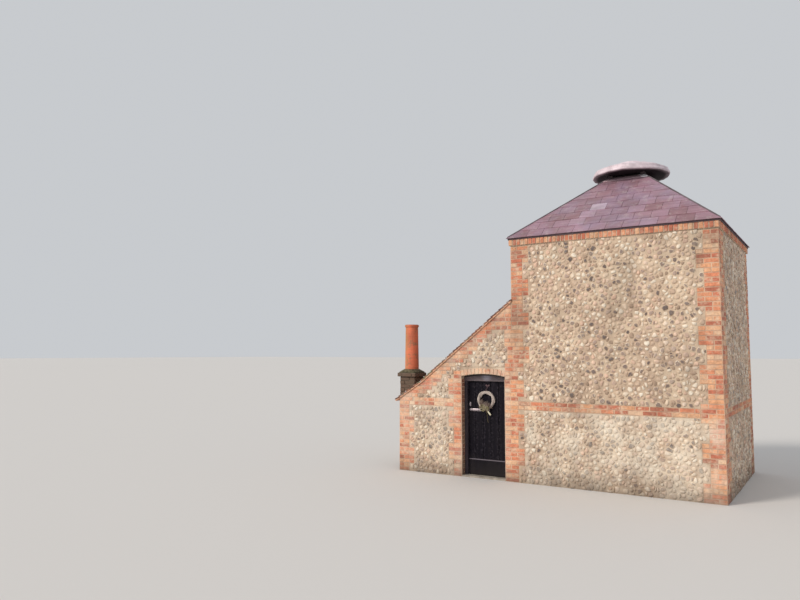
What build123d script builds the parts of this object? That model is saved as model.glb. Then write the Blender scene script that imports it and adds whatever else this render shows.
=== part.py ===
from build123d import *
from math import ceil, cos, radians, sqrt, tan
import os

# An oast house. A square flint kiln stands under a slated pyramid roof whose top is cut off and
# covered by a round lead cap over a vent. A lean-to leans on the kiln's left side, with a plank
# door in its gable, a brick arch over the door and a chimney behind its low end.
# Millimetres, +Z up, ground at Z = 0. The front faces -Y, and the origin is the middle of the plan.

# Kiln walls
KILN_SIDE = 3460
KILN_WALL = 340
KILN_WALL_TOP = 4220
EAVES_COURSE_HEIGHT = 105
EAVES_COURSE_PROUD = 25

# Brick dressings and the flint panels that stand proud between them. The brickwork's edge is
# toothed: it reaches wide and narrow by turns, a few courses each.
BRICK_COURSE = 75
TOOTH_COURSES = 4
PANEL_PROUD = 8
QUOIN_WIDE = 335
QUOIN_NARROW = 225
RETURN_WIDE = 450
RETURN_NARROW = 340
JAMB_WIDE = 275
JAMB_NARROW = 165
KILN_JAMB_WIDE = 225
KILN_JAMB_NARROW = 115
RAKE_WIDE = 500
RAKE_NARROW = 280
UNDER_BAND_COURSES = 17
BAND_COURSES = 2
UNDER_ALL_BRICK_COURSES = 36

# Doorway inside, from the lean-to into the kiln
INNER_DOOR_WIDTH = 850
INNER_DOOR_HEIGHT = 1850
INNER_LINTEL_DEPTH = 120

# Kiln roof
ROOF_PITCH = 39.7
ROOF_THICKNESS = 145
ROOF_OVERHANG = 40
ROOF_EDGE = 45
VENT_CURB_SIDE = 674
VENT_THROAT_SIDE = 520
VENT_CURB_HEIGHT = 20
VENT_POST_HEIGHT = 35

# Lead cap
CAP_RADIUS = 700
CAP_RIM = 50
CAP_RIM_ROUND = 18
CAP_SIDE_HEIGHT = 52
CAP_SIDE_LEAN = 14
CAP_CROWN_RISE = 115
CAP_DOME_FULLNESS = 0.75
CAP_DISC_RADIUS = 240
CAP_DISC_HEIGHT = 48
CAP_DISC_CROWN = 19

# Lean-to walls
LEAN_LENGTH = 2400
LEAN_WALL = 340
LEAN_HEAD = 3244
LEAN_PITCH = 38.15
FOOT_PITCH = 32.1
FOOT_RUN = 488

# Lean-to roof
TILE_THICKNESS = 38
LEAN_EAVE = 90
VERGE_OVERHANG = 30
RAFTER_COUNT = 6
RAFTER_WIDTH = 50
RAFTER_DEPTH = 100
PLATE_WIDTH = 75
PLATE_DEPTH = 100

# Doorway in the gable
DOORWAY_FROM_KILN = 145
DOORWAY_WIDTH = 885
DOORWAY_HEIGHT = 1850
ARCH_RISE = 45
ARCH_DEPTH = 110
THRESHOLD_HEIGHT = 30
FRAME_SETBACK = 115
FRAME_DEPTH = 45
FRAME_WIDTH = 65
HEAD_DEPTH = 90
CURVE_GAP = 0.5

# Door
LEAF_LAP = 15
LEAF_GAP = 5
FLOOR_GAP = 8
PLANK_COUNT = 5
PLANK_THICKNESS = 28
GROOVE_WIDTH = 5
GROOVE_DEPTH = 4
LEDGE_HEIGHT = 110
LEDGE_THICKNESS = 28
LEDGE_INSET = 30
LEDGE_RISE = 222
LEDGE_DROP = 255
KICK_HEIGHT = 285
KICK_THICKNESS = 20
KICK_BEVEL = 12

# Hook and band hinges
HINGE_SETBACK = 238
HINGE_FROM_LEAF = 5
PIN_RADIUS = 7
PIN_CLEARANCE = 0.08
EYE_RADIUS = 14
EYE_HEIGHT = 32
BAND_LENGTH = 450
BAND_HEIGHT = 40
BAND_THICKNESS = 6
HOOK_PLATE_HEIGHT = 90
HOOK_PLATE_WIDTH = 50
HOOK_ARM = 14
SEAT_GAP = 0.3

# Bolt, knob and wreath on the door
BOLT_DROP = 553
BOLT_LENGTH = 230
BOLT_PLATE_HEIGHT = 50
BOLT_PLATE_THICKNESS = 4
BOLT_BAR_RADIUS = 8
BOLT_BAR_SUNK = 1.6
BOLT_INSET = 25
KNOB_RISE = 103
KNOB_PLATE_WIDTH = 28
KNOB_PLATE_HEIGHT = 76
KNOB_PLATE_THICKNESS = 2.5
KNOB_PLATE_ROUNDING = 6
KNOB_RADIUS = 14
KNOB_NECK_RADIUS = 8.4
KNOB_ROUNDING = 4.6
KNOB_LENGTH = 26
WREATH_DROP = 365
WREATH_RADIUS = 143
WREATH_TUBE = 32

# Chimney
STACK_SIDE = 340
STACK_PROUD = 210
STACK_TOP = 1880
STACK_COURSE_HEIGHT = 75
STACK_COURSE_PROUD = 40
STACK_ROOF_GAP = 5
FLUE_SIDE = 180
FLUE_FLOOR = 450
FLAUNCHING_HEIGHT = 75
FLAUNCHING_TOP = 310
POT_FOOT_RADIUS = 140
POT_NECK_RADIUS = 127
POT_RIM_RADIUS = 143
POT_RIM_HEIGHT = 55
POT_BORE_RADIUS = 104
POT_HEIGHT = 980

# Places worked out from the sizes above
kiln_half = KILN_SIDE / 2
right_reach = KILN_SIDE + ROOF_OVERHANG
left_reach = LEAN_LENGTH + max(LEAN_EAVE, STACK_PROUD + STACK_COURSE_PROUD)
side_x = (left_reach - right_reach) / 2
kiln_x = side_x + kiln_half
front_y = -kiln_half
back_y = kiln_half
KILN_AXIS = Axis((kiln_x, 0, 0), (0, 0, 1))
SIDES = {"front": 0, "right": 90, "back": 180, "left": 270}

seat_z = KILN_WALL_TOP + EAVES_COURSE_HEIGHT
eave_z = seat_z + ROOF_EDGE
eave_half = kiln_half + ROOF_OVERHANG
roof_slope = tan(radians(ROOF_PITCH))
roof_upright = ROOF_THICKNESS / cos(radians(ROOF_PITCH))
curb_half = VENT_CURB_SIDE / 2
throat_half = VENT_THROAT_SIDE / 2
roof_top_z = eave_z + (eave_half - curb_half) * roof_slope
cap_z = roof_top_z + VENT_CURB_HEIGHT + VENT_POST_HEIGHT

kink_run = LEAN_LENGTH - FOOT_RUN
lean_slope = tan(radians(LEAN_PITCH))
foot_slope = tan(radians(FOOT_PITCH))
kink_z = LEAN_HEAD - kink_run * lean_slope
tile_upright = TILE_THICKNESS / cos(radians(LEAN_PITCH))
foot_upright = TILE_THICKNESS / cos(radians(FOOT_PITCH))
kink_under_run = kink_run + (foot_upright - tile_upright) / (lean_slope - foot_slope)
rafter_upright = RAFTER_DEPTH / cos(radians(LEAN_PITCH))
inner_run = LEAN_LENGTH - LEAN_WALL

doorway_right = side_x - DOORWAY_FROM_KILN
doorway_left = doorway_right - DOORWAY_WIDTH
doorway_x = (doorway_left + doorway_right) / 2
doorway_half = DOORWAY_WIDTH / 2
frame_front = front_y + FRAME_SETBACK
frame_back = frame_front + FRAME_DEPTH
head_z = DOORWAY_HEIGHT - HEAD_DEPTH
soffit_radius = (doorway_half**2 + ARCH_RISE**2) / (2 * ARCH_RISE)
arch_centre_z = DOORWAY_HEIGHT + ARCH_RISE - soffit_radius

leaf_left = doorway_left + FRAME_WIDTH - LEAF_LAP
leaf_right = doorway_right - FRAME_WIDTH + LEAF_LAP
leaf_front = frame_back + LEAF_GAP
leaf_back = leaf_front + PLANK_THICKNESS
ledge_back = leaf_back + LEDGE_THICKNESS
leaf_bottom = THRESHOLD_HEIGHT + FLOOR_GAP
leaf_top = head_z + LEAF_LAP
hinge_x = leaf_right + HINGE_FROM_LEAF
hinge_y = front_y + HINGE_SETBACK
ledge_first = leaf_bottom + LEDGE_RISE
ledge_last = leaf_top - LEDGE_DROP
ledge_heights = [ledge_first, (ledge_first + ledge_last) / 2, ledge_last]
hinge_heights = [ledge_first, ledge_last]
bolt_z = leaf_top - BOLT_DROP
knob_z = bolt_z + KNOB_RISE
wreath_z = leaf_top - WREATH_DROP

stack_left = side_x - LEAN_LENGTH - STACK_PROUD
stack_front = front_y + LEAN_WALL
stack_x = stack_left + STACK_SIDE / 2
stack_y = stack_front + STACK_SIDE / 2

os.makedirs("parts", exist_ok=True)


def tile_top(run):
    """Height of the tiles' top face at a distance from the kiln's side."""
    main = LEAN_HEAD - run * lean_slope
    foot = kink_z - (run - kink_run) * foot_slope
    return max(main, foot)


def tile_under(run):
    """Height of the tiles' underside, which is the top of the walls below them."""
    main = LEAN_HEAD - run * lean_slope - tile_upright
    foot = kink_z - (run - kink_run) * foot_slope - foot_upright
    return max(main, foot)


def rake_run(z):
    """Distance from the kiln's side where the walls' raked top comes down to a height."""
    main = (LEAN_HEAD - tile_upright - z) / lean_slope
    foot = kink_run + (kink_z - foot_upright - z) / foot_slope
    return max(main, foot)


def block(x0, x1, y0, y1, z0, z1):
    """A squared block of wall, stone or timber between two corners."""
    with BuildPart() as piece:
        with BuildSketch(Plane.XY.offset(z0)):
            with Locations(((x0 + x1) / 2, (y0 + y1) / 2)):
                Rectangle(x1 - x0, y1 - y0)
        extrude(amount=z1 - z0)
    return piece


def upright_panel(outline, y0, y1):
    """A panel that stands across the building: an outline in X and Z, thick from y0 to y1."""
    with BuildPart() as piece:
        with BuildSketch(Plane.XZ.offset(-y0)):
            with BuildLine():
                Polyline(*outline, close=True)
            make_face()
        extrude(amount=y0 - y1)
    return piece


def mitred_side(outline):
    """One side of the kiln: an outline in Y and Z, carried along and mitred on the diagonals."""
    reach = 2 * eave_half
    with BuildPart() as piece:
        with BuildSketch(Plane.YZ.offset(kiln_x)):
            with BuildLine():
                Polyline(*outline, close=True)
            make_face()
        extrude(amount=reach, both=True)
        with BuildSketch(Plane.XY):
            with BuildLine():
                Polyline((kiln_x, 0), (kiln_x - reach, -reach), (kiln_x + reach, -reach), close=True)
            make_face()
        extrude(amount=2 * roof_top_z, mode=Mode.INTERSECT)
    return piece


def toothed(corner, way, wide, narrow, shift=0):
    """Places of a toothed edge of brickwork, one for each course, to one side of a corner."""
    return [
        corner + way * (wide if (course + shift) // TOOTH_COURSES % 2 else narrow)
        for course in range(course_count)
    ]


def panel_outline(first, top, left_edge, right_edge):
    """A flint panel from a course up to a height, between two edges that give a place a course."""
    left_side, right_side = [], []
    for course in range(first, ceil(top / BRICK_COURSE)):
        heights = (course * BRICK_COURSE, min((course + 1) * BRICK_COURSE, top))
        left_side += [(left_edge[course], z) for z in heights]
        right_side += [(right_edge[course], z) for z in heights]
    corners = right_side + left_side[::-1]
    following = corners[1:] + corners[:1]
    return [
        corner
        for before, corner, after in zip(corners[-1:] + corners[:-1], corners, following)
        if not (before[0] == corner[0] == after[0] or before[1] == corner[1] == after[1])
    ]


def with_flint(wall, face, outlines):
    """A wall whose flint panels stand proud of its outer face, one for each outline."""
    with BuildPart() as piece:
        add(wall.part)
        for outline in outlines:
            with BuildSketch(face):
                with BuildLine():
                    Polyline(*outline, close=True)
                make_face()
            extrude(amount=PANEL_PROUD)
    return piece


def save(piece, name):
    """Labels a finished piece and writes it."""
    piece.part.label = name
    export_step(piece.part, f"parts/{name}.step")


# Flint panels: each wall's face is level with its brickwork's joints, and the panels stand proud
# between the quoins, the door's jambs, the rake and the band that runs round all the walls
course_count = ceil(KILN_WALL_TOP / BRICK_COURSE)
band_under = UNDER_BAND_COURSES * BRICK_COURSE
band_over = UNDER_BAND_COURSES + BAND_COURSES
arch_top = DOORWAY_HEIGHT + ARCH_RISE + ARCH_DEPTH
head_course = int(arch_top / BRICK_COURSE)
rake_courses = int(LEAN_HEAD / BRICK_COURSE)
all_brick_z = UNDER_ALL_BRICK_COURSES * BRICK_COURSE
kiln_left = kiln_x - kiln_half
kiln_right = kiln_x + kiln_half
low_x = side_x - LEAN_LENGTH
front_face = Plane(origin=(0, front_y, 0), x_dir=(1, 0, 0), z_dir=(0, -1, 0))
back_face = Plane(origin=(0, back_y, 0), x_dir=(-1, 0, 0), z_dir=(0, 1, 0))
right_face = Plane(origin=(kiln_right, 0, 0), x_dir=(0, 1, 0), z_dir=(1, 0, 0))
side_face = Plane(origin=(kiln_left, 0, 0), x_dir=(0, -1, 0), z_dir=(-1, 0, 0))
low_face = Plane(origin=(low_x, 0, 0), x_dir=(0, -1, 0), z_dir=(-1, 0, 0))

# Kiln walls: flint and brick, 340 thick, each a slab that stands on the ground
inner_front = front_y + KILN_WALL
inner_back = back_y - KILN_WALL
by_door = toothed(kiln_left, 1, KILN_JAMB_WIDE, KILN_JAMB_NARROW)[:head_course]
front_left_edge = by_door + toothed(kiln_left, 1, QUOIN_WIDE, QUOIN_NARROW)[head_course:]
front_right_edge = toothed(kiln_right, -1, QUOIN_WIDE, QUOIN_NARROW, TOOTH_COURSES)
kiln_front_wall = with_flint(
    block(kiln_left, kiln_right, front_y, inner_front, 0, KILN_WALL_TOP),
    front_face,
    [
        panel_outline(0, band_under, front_left_edge, front_right_edge),
        panel_outline(band_over, KILN_WALL_TOP, front_left_edge, front_right_edge),
    ],
)
save(kiln_front_wall, "kiln_front_wall")

# Below the lean-to's rake the back wall's flint runs on across both buildings
back_left_edge = toothed(-kiln_right, 1, QUOIN_WIDE, QUOIN_NARROW)
above_rake = toothed(-kiln_left, -1, QUOIN_WIDE, QUOIN_NARROW)[rake_courses:]
back_right_edge = [-kiln_left] * rake_courses + above_rake
kiln_back_wall = with_flint(
    block(kiln_left, kiln_right, inner_back, back_y, 0, KILN_WALL_TOP),
    back_face,
    [
        panel_outline(0, band_under, back_left_edge, back_right_edge),
        panel_outline(band_over, KILN_WALL_TOP, back_left_edge, back_right_edge),
    ],
)
save(kiln_back_wall, "kiln_back_wall")

# The right wall stands between the front and the back, so its panels begin past their ends
right_front_edge = toothed(front_y, 1, RETURN_WIDE, RETURN_NARROW)
right_back_edge = toothed(back_y, -1, RETURN_WIDE, RETURN_NARROW, TOOTH_COURSES)
kiln_right_wall = with_flint(
    block(kiln_right - KILN_WALL, kiln_right, inner_front, inner_back, 0, KILN_WALL_TOP),
    right_face,
    [
        panel_outline(0, band_under, right_front_edge, right_back_edge),
        panel_outline(band_over, KILN_WALL_TOP, right_front_edge, right_back_edge),
    ],
)
save(kiln_right_wall, "kiln_right_wall")

# The kiln's left side has the inner doorway in it, under a timber lintel. Over the lean-to's roof
# one flint panel crosses its three parts.
side_inner = kiln_left + KILN_WALL
inner_door_front = -INNER_DOOR_WIDTH / 2
inner_door_back = INNER_DOOR_WIDTH / 2
lintel_top = INNER_DOOR_HEIGHT + INNER_LINTEL_DEPTH
side_left_edge = toothed(-back_y, 1, RETURN_WIDE, RETURN_NARROW)
side_right_edge = toothed(-front_y, -1, RETURN_WIDE, RETURN_NARROW)
door_front_edge = [-inner_door_front] * course_count
door_back_edge = [-inner_door_back] * course_count
side_first = rake_courses + 1
kiln_side_wall_front = with_flint(
    block(kiln_left, side_inner, inner_front, inner_door_front, 0, KILN_WALL_TOP),
    side_face,
    [panel_outline(side_first, KILN_WALL_TOP, door_front_edge, side_right_edge)],
)
save(kiln_side_wall_front, "kiln_side_wall_front")
kiln_side_wall_back = with_flint(
    block(kiln_left, side_inner, inner_door_back, inner_back, 0, KILN_WALL_TOP),
    side_face,
    [panel_outline(side_first, KILN_WALL_TOP, side_left_edge, door_back_edge)],
)
save(kiln_side_wall_back, "kiln_side_wall_back")
kiln_side_wall_over = with_flint(
    block(kiln_left, side_inner, inner_door_front, inner_door_back, lintel_top, KILN_WALL_TOP),
    side_face,
    [panel_outline(side_first, KILN_WALL_TOP, door_back_edge, door_front_edge)],
)
save(kiln_side_wall_over, "kiln_side_wall_over")
inner_lintel = block(
    kiln_left, side_inner, inner_door_front, inner_door_back, INNER_DOOR_HEIGHT, lintel_top
)
save(inner_lintel, "inner_lintel")

# Eaves course: one course of brick on the wall top, proud of the flint, mitred at the corners
course_outline = [
    (-kiln_half - EAVES_COURSE_PROUD, KILN_WALL_TOP),
    (-kiln_half - EAVES_COURSE_PROUD, seat_z),
    (-kiln_half + KILN_WALL, seat_z),
    (-kiln_half + KILN_WALL, KILN_WALL_TOP),
]
course = mitred_side(course_outline)
for side, angle in SIDES.items():
    with BuildPart() as eaves_course:
        add(course.part.rotate(KILN_AXIS, angle))
    save(eaves_course, f"eaves_course_{side}")

# Roof slopes: slates, battens, rafters and plaster as one slab, cut flat where it sits on the
# eaves course, level at the top and upright round the vent's throat, and mitred at the hips
seat_half = eave_half - (roof_upright - ROOF_EDGE) / roof_slope
throat_under_z = eave_z + (eave_half - throat_half) * roof_slope - roof_upright
slope_outline = [
    (-eave_half, seat_z),
    (-eave_half, eave_z),
    (-curb_half, roof_top_z),
    (-throat_half, roof_top_z),
    (-throat_half, throat_under_z),
    (-seat_half, seat_z),
]
slope = mitred_side(slope_outline)
for side, angle in SIDES.items():
    with BuildPart() as roof_side:
        add(slope.part.rotate(KILN_AXIS, angle))
    save(roof_side, f"roof_slope_{side}")

# Vent curb: a square timber ring on the roof's cut top, with a short post on each corner
curb_width = curb_half - throat_half
curb_plane = Plane((kiln_x, 0, roof_top_z))
with BuildPart() as vent_curb:
    with BuildSketch(curb_plane):
        Rectangle(VENT_CURB_SIDE, VENT_CURB_SIDE)
        Rectangle(VENT_THROAT_SIDE, VENT_THROAT_SIDE, mode=Mode.SUBTRACT)
    extrude(amount=VENT_CURB_HEIGHT)
    with BuildSketch(curb_plane.offset(VENT_CURB_HEIGHT)):
        post_spacing = VENT_CURB_SIDE - curb_width
        with GridLocations(post_spacing, post_spacing, 2, 2):
            Rectangle(curb_width, curb_width)
    extrude(amount=VENT_POST_HEIGHT)
save(vent_curb, "vent_curb")

# Lead cap: boards dressed with lead, with a roll round the foot, a steep side and a low dome that
# rises to the raised disc in its middle
rim_inner = CAP_RADIUS - CAP_RIM_ROUND
side_foot_z = cap_z + CAP_RIM
shoulder_z = side_foot_z + CAP_SIDE_HEIGHT
shoulder_radius = rim_inner - CAP_SIDE_LEAN
dome_z = shoulder_z + CAP_CROWN_RISE
dome_mid_radius = (shoulder_radius + CAP_DISC_RADIUS) / 2
dome_mid_z = shoulder_z + CAP_CROWN_RISE * CAP_DOME_FULLNESS
with BuildPart() as lead_cap:
    with BuildSketch(Plane.XZ):
        with BuildLine():
            Line((0, cap_z), (rim_inner, cap_z))
            ThreePointArc(
                (rim_inner, cap_z),
                (CAP_RADIUS, cap_z + CAP_RIM / 2),
                (rim_inner, side_foot_z),
            )
            Line((rim_inner, side_foot_z), (shoulder_radius, shoulder_z))
            ThreePointArc(
                (shoulder_radius, shoulder_z),
                (dome_mid_radius, dome_mid_z),
                (CAP_DISC_RADIUS, dome_z),
            )
            Polyline((CAP_DISC_RADIUS, dome_z), (0, dome_z), (0, cap_z))
        make_face()
    revolve(axis=Axis.Z)
lead_cap.part = lead_cap.part.moved(Location((kiln_x, 0, 0)))
save(lead_cap, "lead_cap")

disc_z = dome_z + CAP_DISC_HEIGHT
with BuildPart() as cap_disc:
    with BuildSketch(Plane.XZ):
        with BuildLine():
            Polyline(
                (0, dome_z),
                (CAP_DISC_RADIUS, dome_z),
                (CAP_DISC_RADIUS, disc_z),
                (0, disc_z + CAP_DISC_CROWN),
                close=True,
            )
        make_face()
    revolve(axis=Axis.Z)
cap_disc.part = cap_disc.part.moved(Location((kiln_x, 0, 0)))
save(cap_disc, "cap_disc")

# Lean-to gable: flint, level with the kiln's front, split beside and over the doorway. A band of
# brick follows the rake, closes over the arch and fills the top.
gable_back = front_y + LEAN_WALL
kink_x = side_x - kink_under_run
rake_places = [side_x - rake_run((course + 1) * BRICK_COURSE) for course in range(course_count)]
rake_reach = toothed(0, 1, RAKE_WIDE, RAKE_NARROW)
rake_edge = [place + reach for place, reach in zip(rake_places, rake_reach)]
jamb_edge = toothed(doorway_left, -1, JAMB_WIDE, JAMB_NARROW)
low_edge = toothed(low_x, 1, QUOIN_WIDE, QUOIN_NARROW, TOOTH_COURSES // 2)
gable_wall_left = with_flint(
    upright_panel(
        [
            (low_x, 0),
            (doorway_left, 0),
            (doorway_left, tile_under(side_x - doorway_left)),
            (kink_x, tile_under(kink_under_run)),
            (low_x, tile_under(LEAN_LENGTH)),
        ],
        front_y,
        gable_back,
    ),
    front_face,
    [panel_outline(0, band_under, low_edge, jamb_edge)],
)
save(gable_wall_left, "gable_wall_left")
gable_wall_right = upright_panel(
    [
        (doorway_right, 0),
        (side_x, 0),
        (side_x, tile_under(0)),
        (doorway_right, tile_under(DOORWAY_FROM_KILN)),
    ],
    front_y,
    gable_back,
)
save(gable_wall_right, "gable_wall_right")


def arc_height(radius, x):
    """Height of the arch's arc of a radius, at a place across the doorway."""
    return arch_centre_z + sqrt(radius**2 - (x - doorway_x) ** 2)


# Door arch: a flat segmental ring of bricks on end, as wide as the doorway
ring_radius = soffit_radius + ARCH_DEPTH
ring_spring_z = arc_height(ring_radius, doorway_left)
with BuildPart() as door_arch:
    with BuildSketch(Plane.XZ.offset(-front_y)):
        with BuildLine():
            ThreePointArc(
                (doorway_left, DOORWAY_HEIGHT),
                (doorway_x, DOORWAY_HEIGHT + ARCH_RISE),
                (doorway_right, DOORWAY_HEIGHT),
            )
            Line((doorway_right, DOORWAY_HEIGHT), (doorway_right, ring_spring_z))
            ThreePointArc(
                (doorway_right, ring_spring_z),
                (doorway_x, arc_height(ring_radius, doorway_x)),
                (doorway_left, ring_spring_z),
            )
            Line((doorway_left, ring_spring_z), (doorway_left, DOORWAY_HEIGHT))
        make_face()
    extrude(amount=-LEAN_WALL)
save(door_arch, "door_arch")

# The flint over the door sits on the ring's back and rises to the rake
over_radius = ring_radius + CURVE_GAP
over_spring_z = arc_height(over_radius, doorway_left)
with BuildPart() as gable_wall_over:
    with BuildSketch(Plane.XZ.offset(-front_y)):
        with BuildLine():
            ThreePointArc(
                (doorway_left, over_spring_z),
                (doorway_x, arc_height(over_radius, doorway_x)),
                (doorway_right, over_spring_z),
            )
            Polyline(
                (doorway_right, over_spring_z),
                (doorway_right, tile_under(DOORWAY_FROM_KILN)),
                (doorway_left, tile_under(side_x - doorway_left)),
                (doorway_left, over_spring_z),
            )
        make_face()
    extrude(amount=-LEAN_WALL)
over_left_edge = [max(place, doorway_left) for place in rake_edge]
over_right_edge = [doorway_right] * course_count
over_panel = panel_outline(head_course + 1, all_brick_z, over_left_edge, over_right_edge)
gable_wall_over = with_flint(gable_wall_over, front_face, [over_panel])
save(gable_wall_over, "gable_wall_over")

# The far gable is plain, with the same rake. Seen from behind, its flint lies between the kiln and
# the corner, and above the band between the kiln and the rake.
back_kiln_edge = [-side_x] * course_count
back_low_edge = [-place for place in low_edge]
back_rake_edge = [-place for place in rake_edge]
lean_to_back_wall = with_flint(
    upright_panel(
        [
            (low_x, 0),
            (side_x, 0),
            (side_x, tile_under(0)),
            (kink_x, tile_under(kink_under_run)),
            (low_x, tile_under(LEAN_LENGTH)),
        ],
        back_y - LEAN_WALL,
        back_y,
    ),
    back_face,
    [
        panel_outline(0, band_under, back_kiln_edge, back_low_edge),
        panel_outline(band_over, all_brick_z, back_kiln_edge, back_rake_edge),
    ],
)
save(lean_to_back_wall, "lean_to_back_wall")

# The low side wall runs between the gables, with a chase for the chimney stack and flint behind it
with BuildPart() as lean_to_side_wall:
    with BuildSketch(Plane.XZ.offset(-gable_back)):
        with BuildLine():
            Polyline(
                (low_x, 0),
                (low_x + LEAN_WALL, 0),
                (low_x + LEAN_WALL, tile_under(inner_run)),
                (low_x, tile_under(LEAN_LENGTH)),
                close=True,
            )
        make_face()
    extrude(amount=gable_back - (back_y - LEAN_WALL))
    with BuildSketch(Plane.XY):
        with Locations((stack_x, stack_y)):
            Rectangle(STACK_SIDE, STACK_SIDE)
    extrude(amount=STACK_TOP, mode=Mode.SUBTRACT)
low_left_edge = toothed(-back_y, 1, RETURN_WIDE, RETURN_NARROW)
low_right_edge = [-(stack_y + STACK_SIDE / 2)] * course_count
low_panel = panel_outline(0, band_under, low_left_edge, low_right_edge)
lean_to_side_wall = with_flint(lean_to_side_wall, low_face, [low_panel])
save(lean_to_side_wall, "lean_to_side_wall")

# Lean-to roof: clay tiles on boards as one slab, flatter over the last stretch above the eave,
# laid over the gable walls and cut round the chimney
eave_run = LEAN_LENGTH + LEAN_EAVE
with BuildPart() as lean_to_roof:
    with BuildSketch(Plane.XZ.offset(-(front_y - VERGE_OVERHANG))):
        with BuildLine():
            Polyline(
                (side_x, tile_under(0)),
                (side_x, tile_top(0)),
                (side_x - kink_run, kink_z),
                (side_x - eave_run, tile_top(eave_run)),
                (side_x - eave_run, tile_under(eave_run)),
                (kink_x, tile_under(kink_under_run)),
                close=True,
            )
        make_face()
    extrude(amount=-(KILN_SIDE + 2 * VERGE_OVERHANG))
    with BuildSketch(Plane.XY):
        with Locations((stack_x, stack_y)):
            Rectangle(STACK_SIDE + 2 * STACK_ROOF_GAP, STACK_SIDE + 2 * STACK_ROOF_GAP)
    extrude(amount=LEAN_HEAD, mode=Mode.SUBTRACT)
save(lean_to_roof, "lean_to_roof")

# Rafters run down under the tiles from the kiln to the low wall
rafter_first = gable_back + RAFTER_WIDTH
rafter_span = (back_y - LEAN_WALL - RAFTER_WIDTH) - rafter_first - RAFTER_WIDTH
rafter_step = rafter_span / (RAFTER_COUNT - 1)


def rafter_top(run):
    """Height of a rafter's top, straight on below the main slope of tiles."""
    return LEAN_HEAD - run * lean_slope - tile_upright


with BuildPart() as rafters:
    for i in range(RAFTER_COUNT):
        y = rafter_first + i * rafter_step
        with BuildSketch(Plane.XZ.offset(-y)):
            with BuildLine():
                Polyline(
                    (side_x, rafter_top(0)),
                    (side_x, rafter_top(0) - rafter_upright),
                    (side_x - inner_run, rafter_top(inner_run) - rafter_upright),
                    (side_x - inner_run, rafter_top(inner_run)),
                    close=True,
                )
            make_face()
        extrude(amount=-RAFTER_WIDTH)
save(rafters, "rafters")

# A plate along each wall carries the rafters' ends
low_plate_run = inner_run - PLATE_WIDTH
low_plate_top = rafter_top(low_plate_run) - rafter_upright
low_plate = upright_panel(
    [
        (side_x - inner_run, low_plate_top - PLATE_DEPTH),
        (side_x - low_plate_run, low_plate_top - PLATE_DEPTH),
        (side_x - low_plate_run, low_plate_top),
        (side_x - inner_run, rafter_top(inner_run) - rafter_upright),
    ],
    gable_back,
    back_y - LEAN_WALL,
)
save(low_plate, "low_wall_plate")
high_plate_under = rafter_top(PLATE_WIDTH) - rafter_upright
high_plate = upright_panel(
    [
        (side_x - PLATE_WIDTH, high_plate_under - PLATE_DEPTH),
        (side_x, high_plate_under - PLATE_DEPTH),
        (side_x, rafter_top(0) - rafter_upright),
        (side_x - PLATE_WIDTH, high_plate_under),
    ],
    gable_back,
    back_y - LEAN_WALL,
)
save(high_plate, "high_wall_plate")

# Threshold: one slab across the doorway, as deep as the wall
threshold = block(doorway_left, doorway_right, front_y, gable_back, 0, THRESHOLD_HEIGHT)
save(threshold, "threshold")

# Door frame: two posts on the threshold and a head cut to the arch
frame_left = block(
    doorway_left, doorway_left + FRAME_WIDTH, frame_front, frame_back, THRESHOLD_HEIGHT, head_z
)
save(frame_left, "frame_post_left")
frame_right = block(
    doorway_right - FRAME_WIDTH, doorway_right, frame_front, frame_back, THRESHOLD_HEIGHT, head_z
)
save(frame_right, "frame_post_right")
head_radius = soffit_radius - CURVE_GAP
with BuildPart() as frame_head:
    with BuildSketch(Plane.XZ.offset(-frame_front)):
        with BuildLine():
            Polyline(
                (doorway_left, arc_height(head_radius, doorway_left)),
                (doorway_left, head_z),
                (doorway_right, head_z),
                (doorway_right, arc_height(head_radius, doorway_right)),
            )
            ThreePointArc(
                (doorway_right, arc_height(head_radius, doorway_right)),
                (doorway_x, arc_height(head_radius, doorway_x)),
                (doorway_left, arc_height(head_radius, doorway_left)),
            )
        make_face()
    extrude(amount=-FRAME_DEPTH)
save(frame_head, "frame_head")

# Hinge hooks: a plate on the brick reveal, an arm and an upright pin, one for each band
plate_face = doorway_right - BAND_THICKNESS
with BuildPart() as hinge_hooks:
    for z in hinge_heights:
        arm_top = z - EYE_HEIGHT / 2 - SEAT_GAP
        with BuildSketch(Plane.XY.offset(z - HOOK_PLATE_HEIGHT / 2)):
            with Locations((doorway_right - BAND_THICKNESS / 2, hinge_y)):
                Rectangle(BAND_THICKNESS, HOOK_PLATE_WIDTH)
        extrude(amount=HOOK_PLATE_HEIGHT)
        with BuildSketch(Plane.XY.offset(arm_top - HOOK_ARM)):
            with Locations(((hinge_x + plate_face) / 2, hinge_y)):
                Rectangle(plate_face - hinge_x, HOOK_ARM)
            with Locations((hinge_x, hinge_y)):
                Circle(HOOK_ARM / 2)
        extrude(amount=HOOK_ARM)
        with BuildSketch(Plane.XY.offset(arm_top)):
            with Locations((hinge_x, hinge_y)):
                Circle(PIN_RADIUS)
        extrude(amount=EYE_HEIGHT + HOOK_ARM)
save(hinge_hooks, "hinge_hooks")

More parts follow.
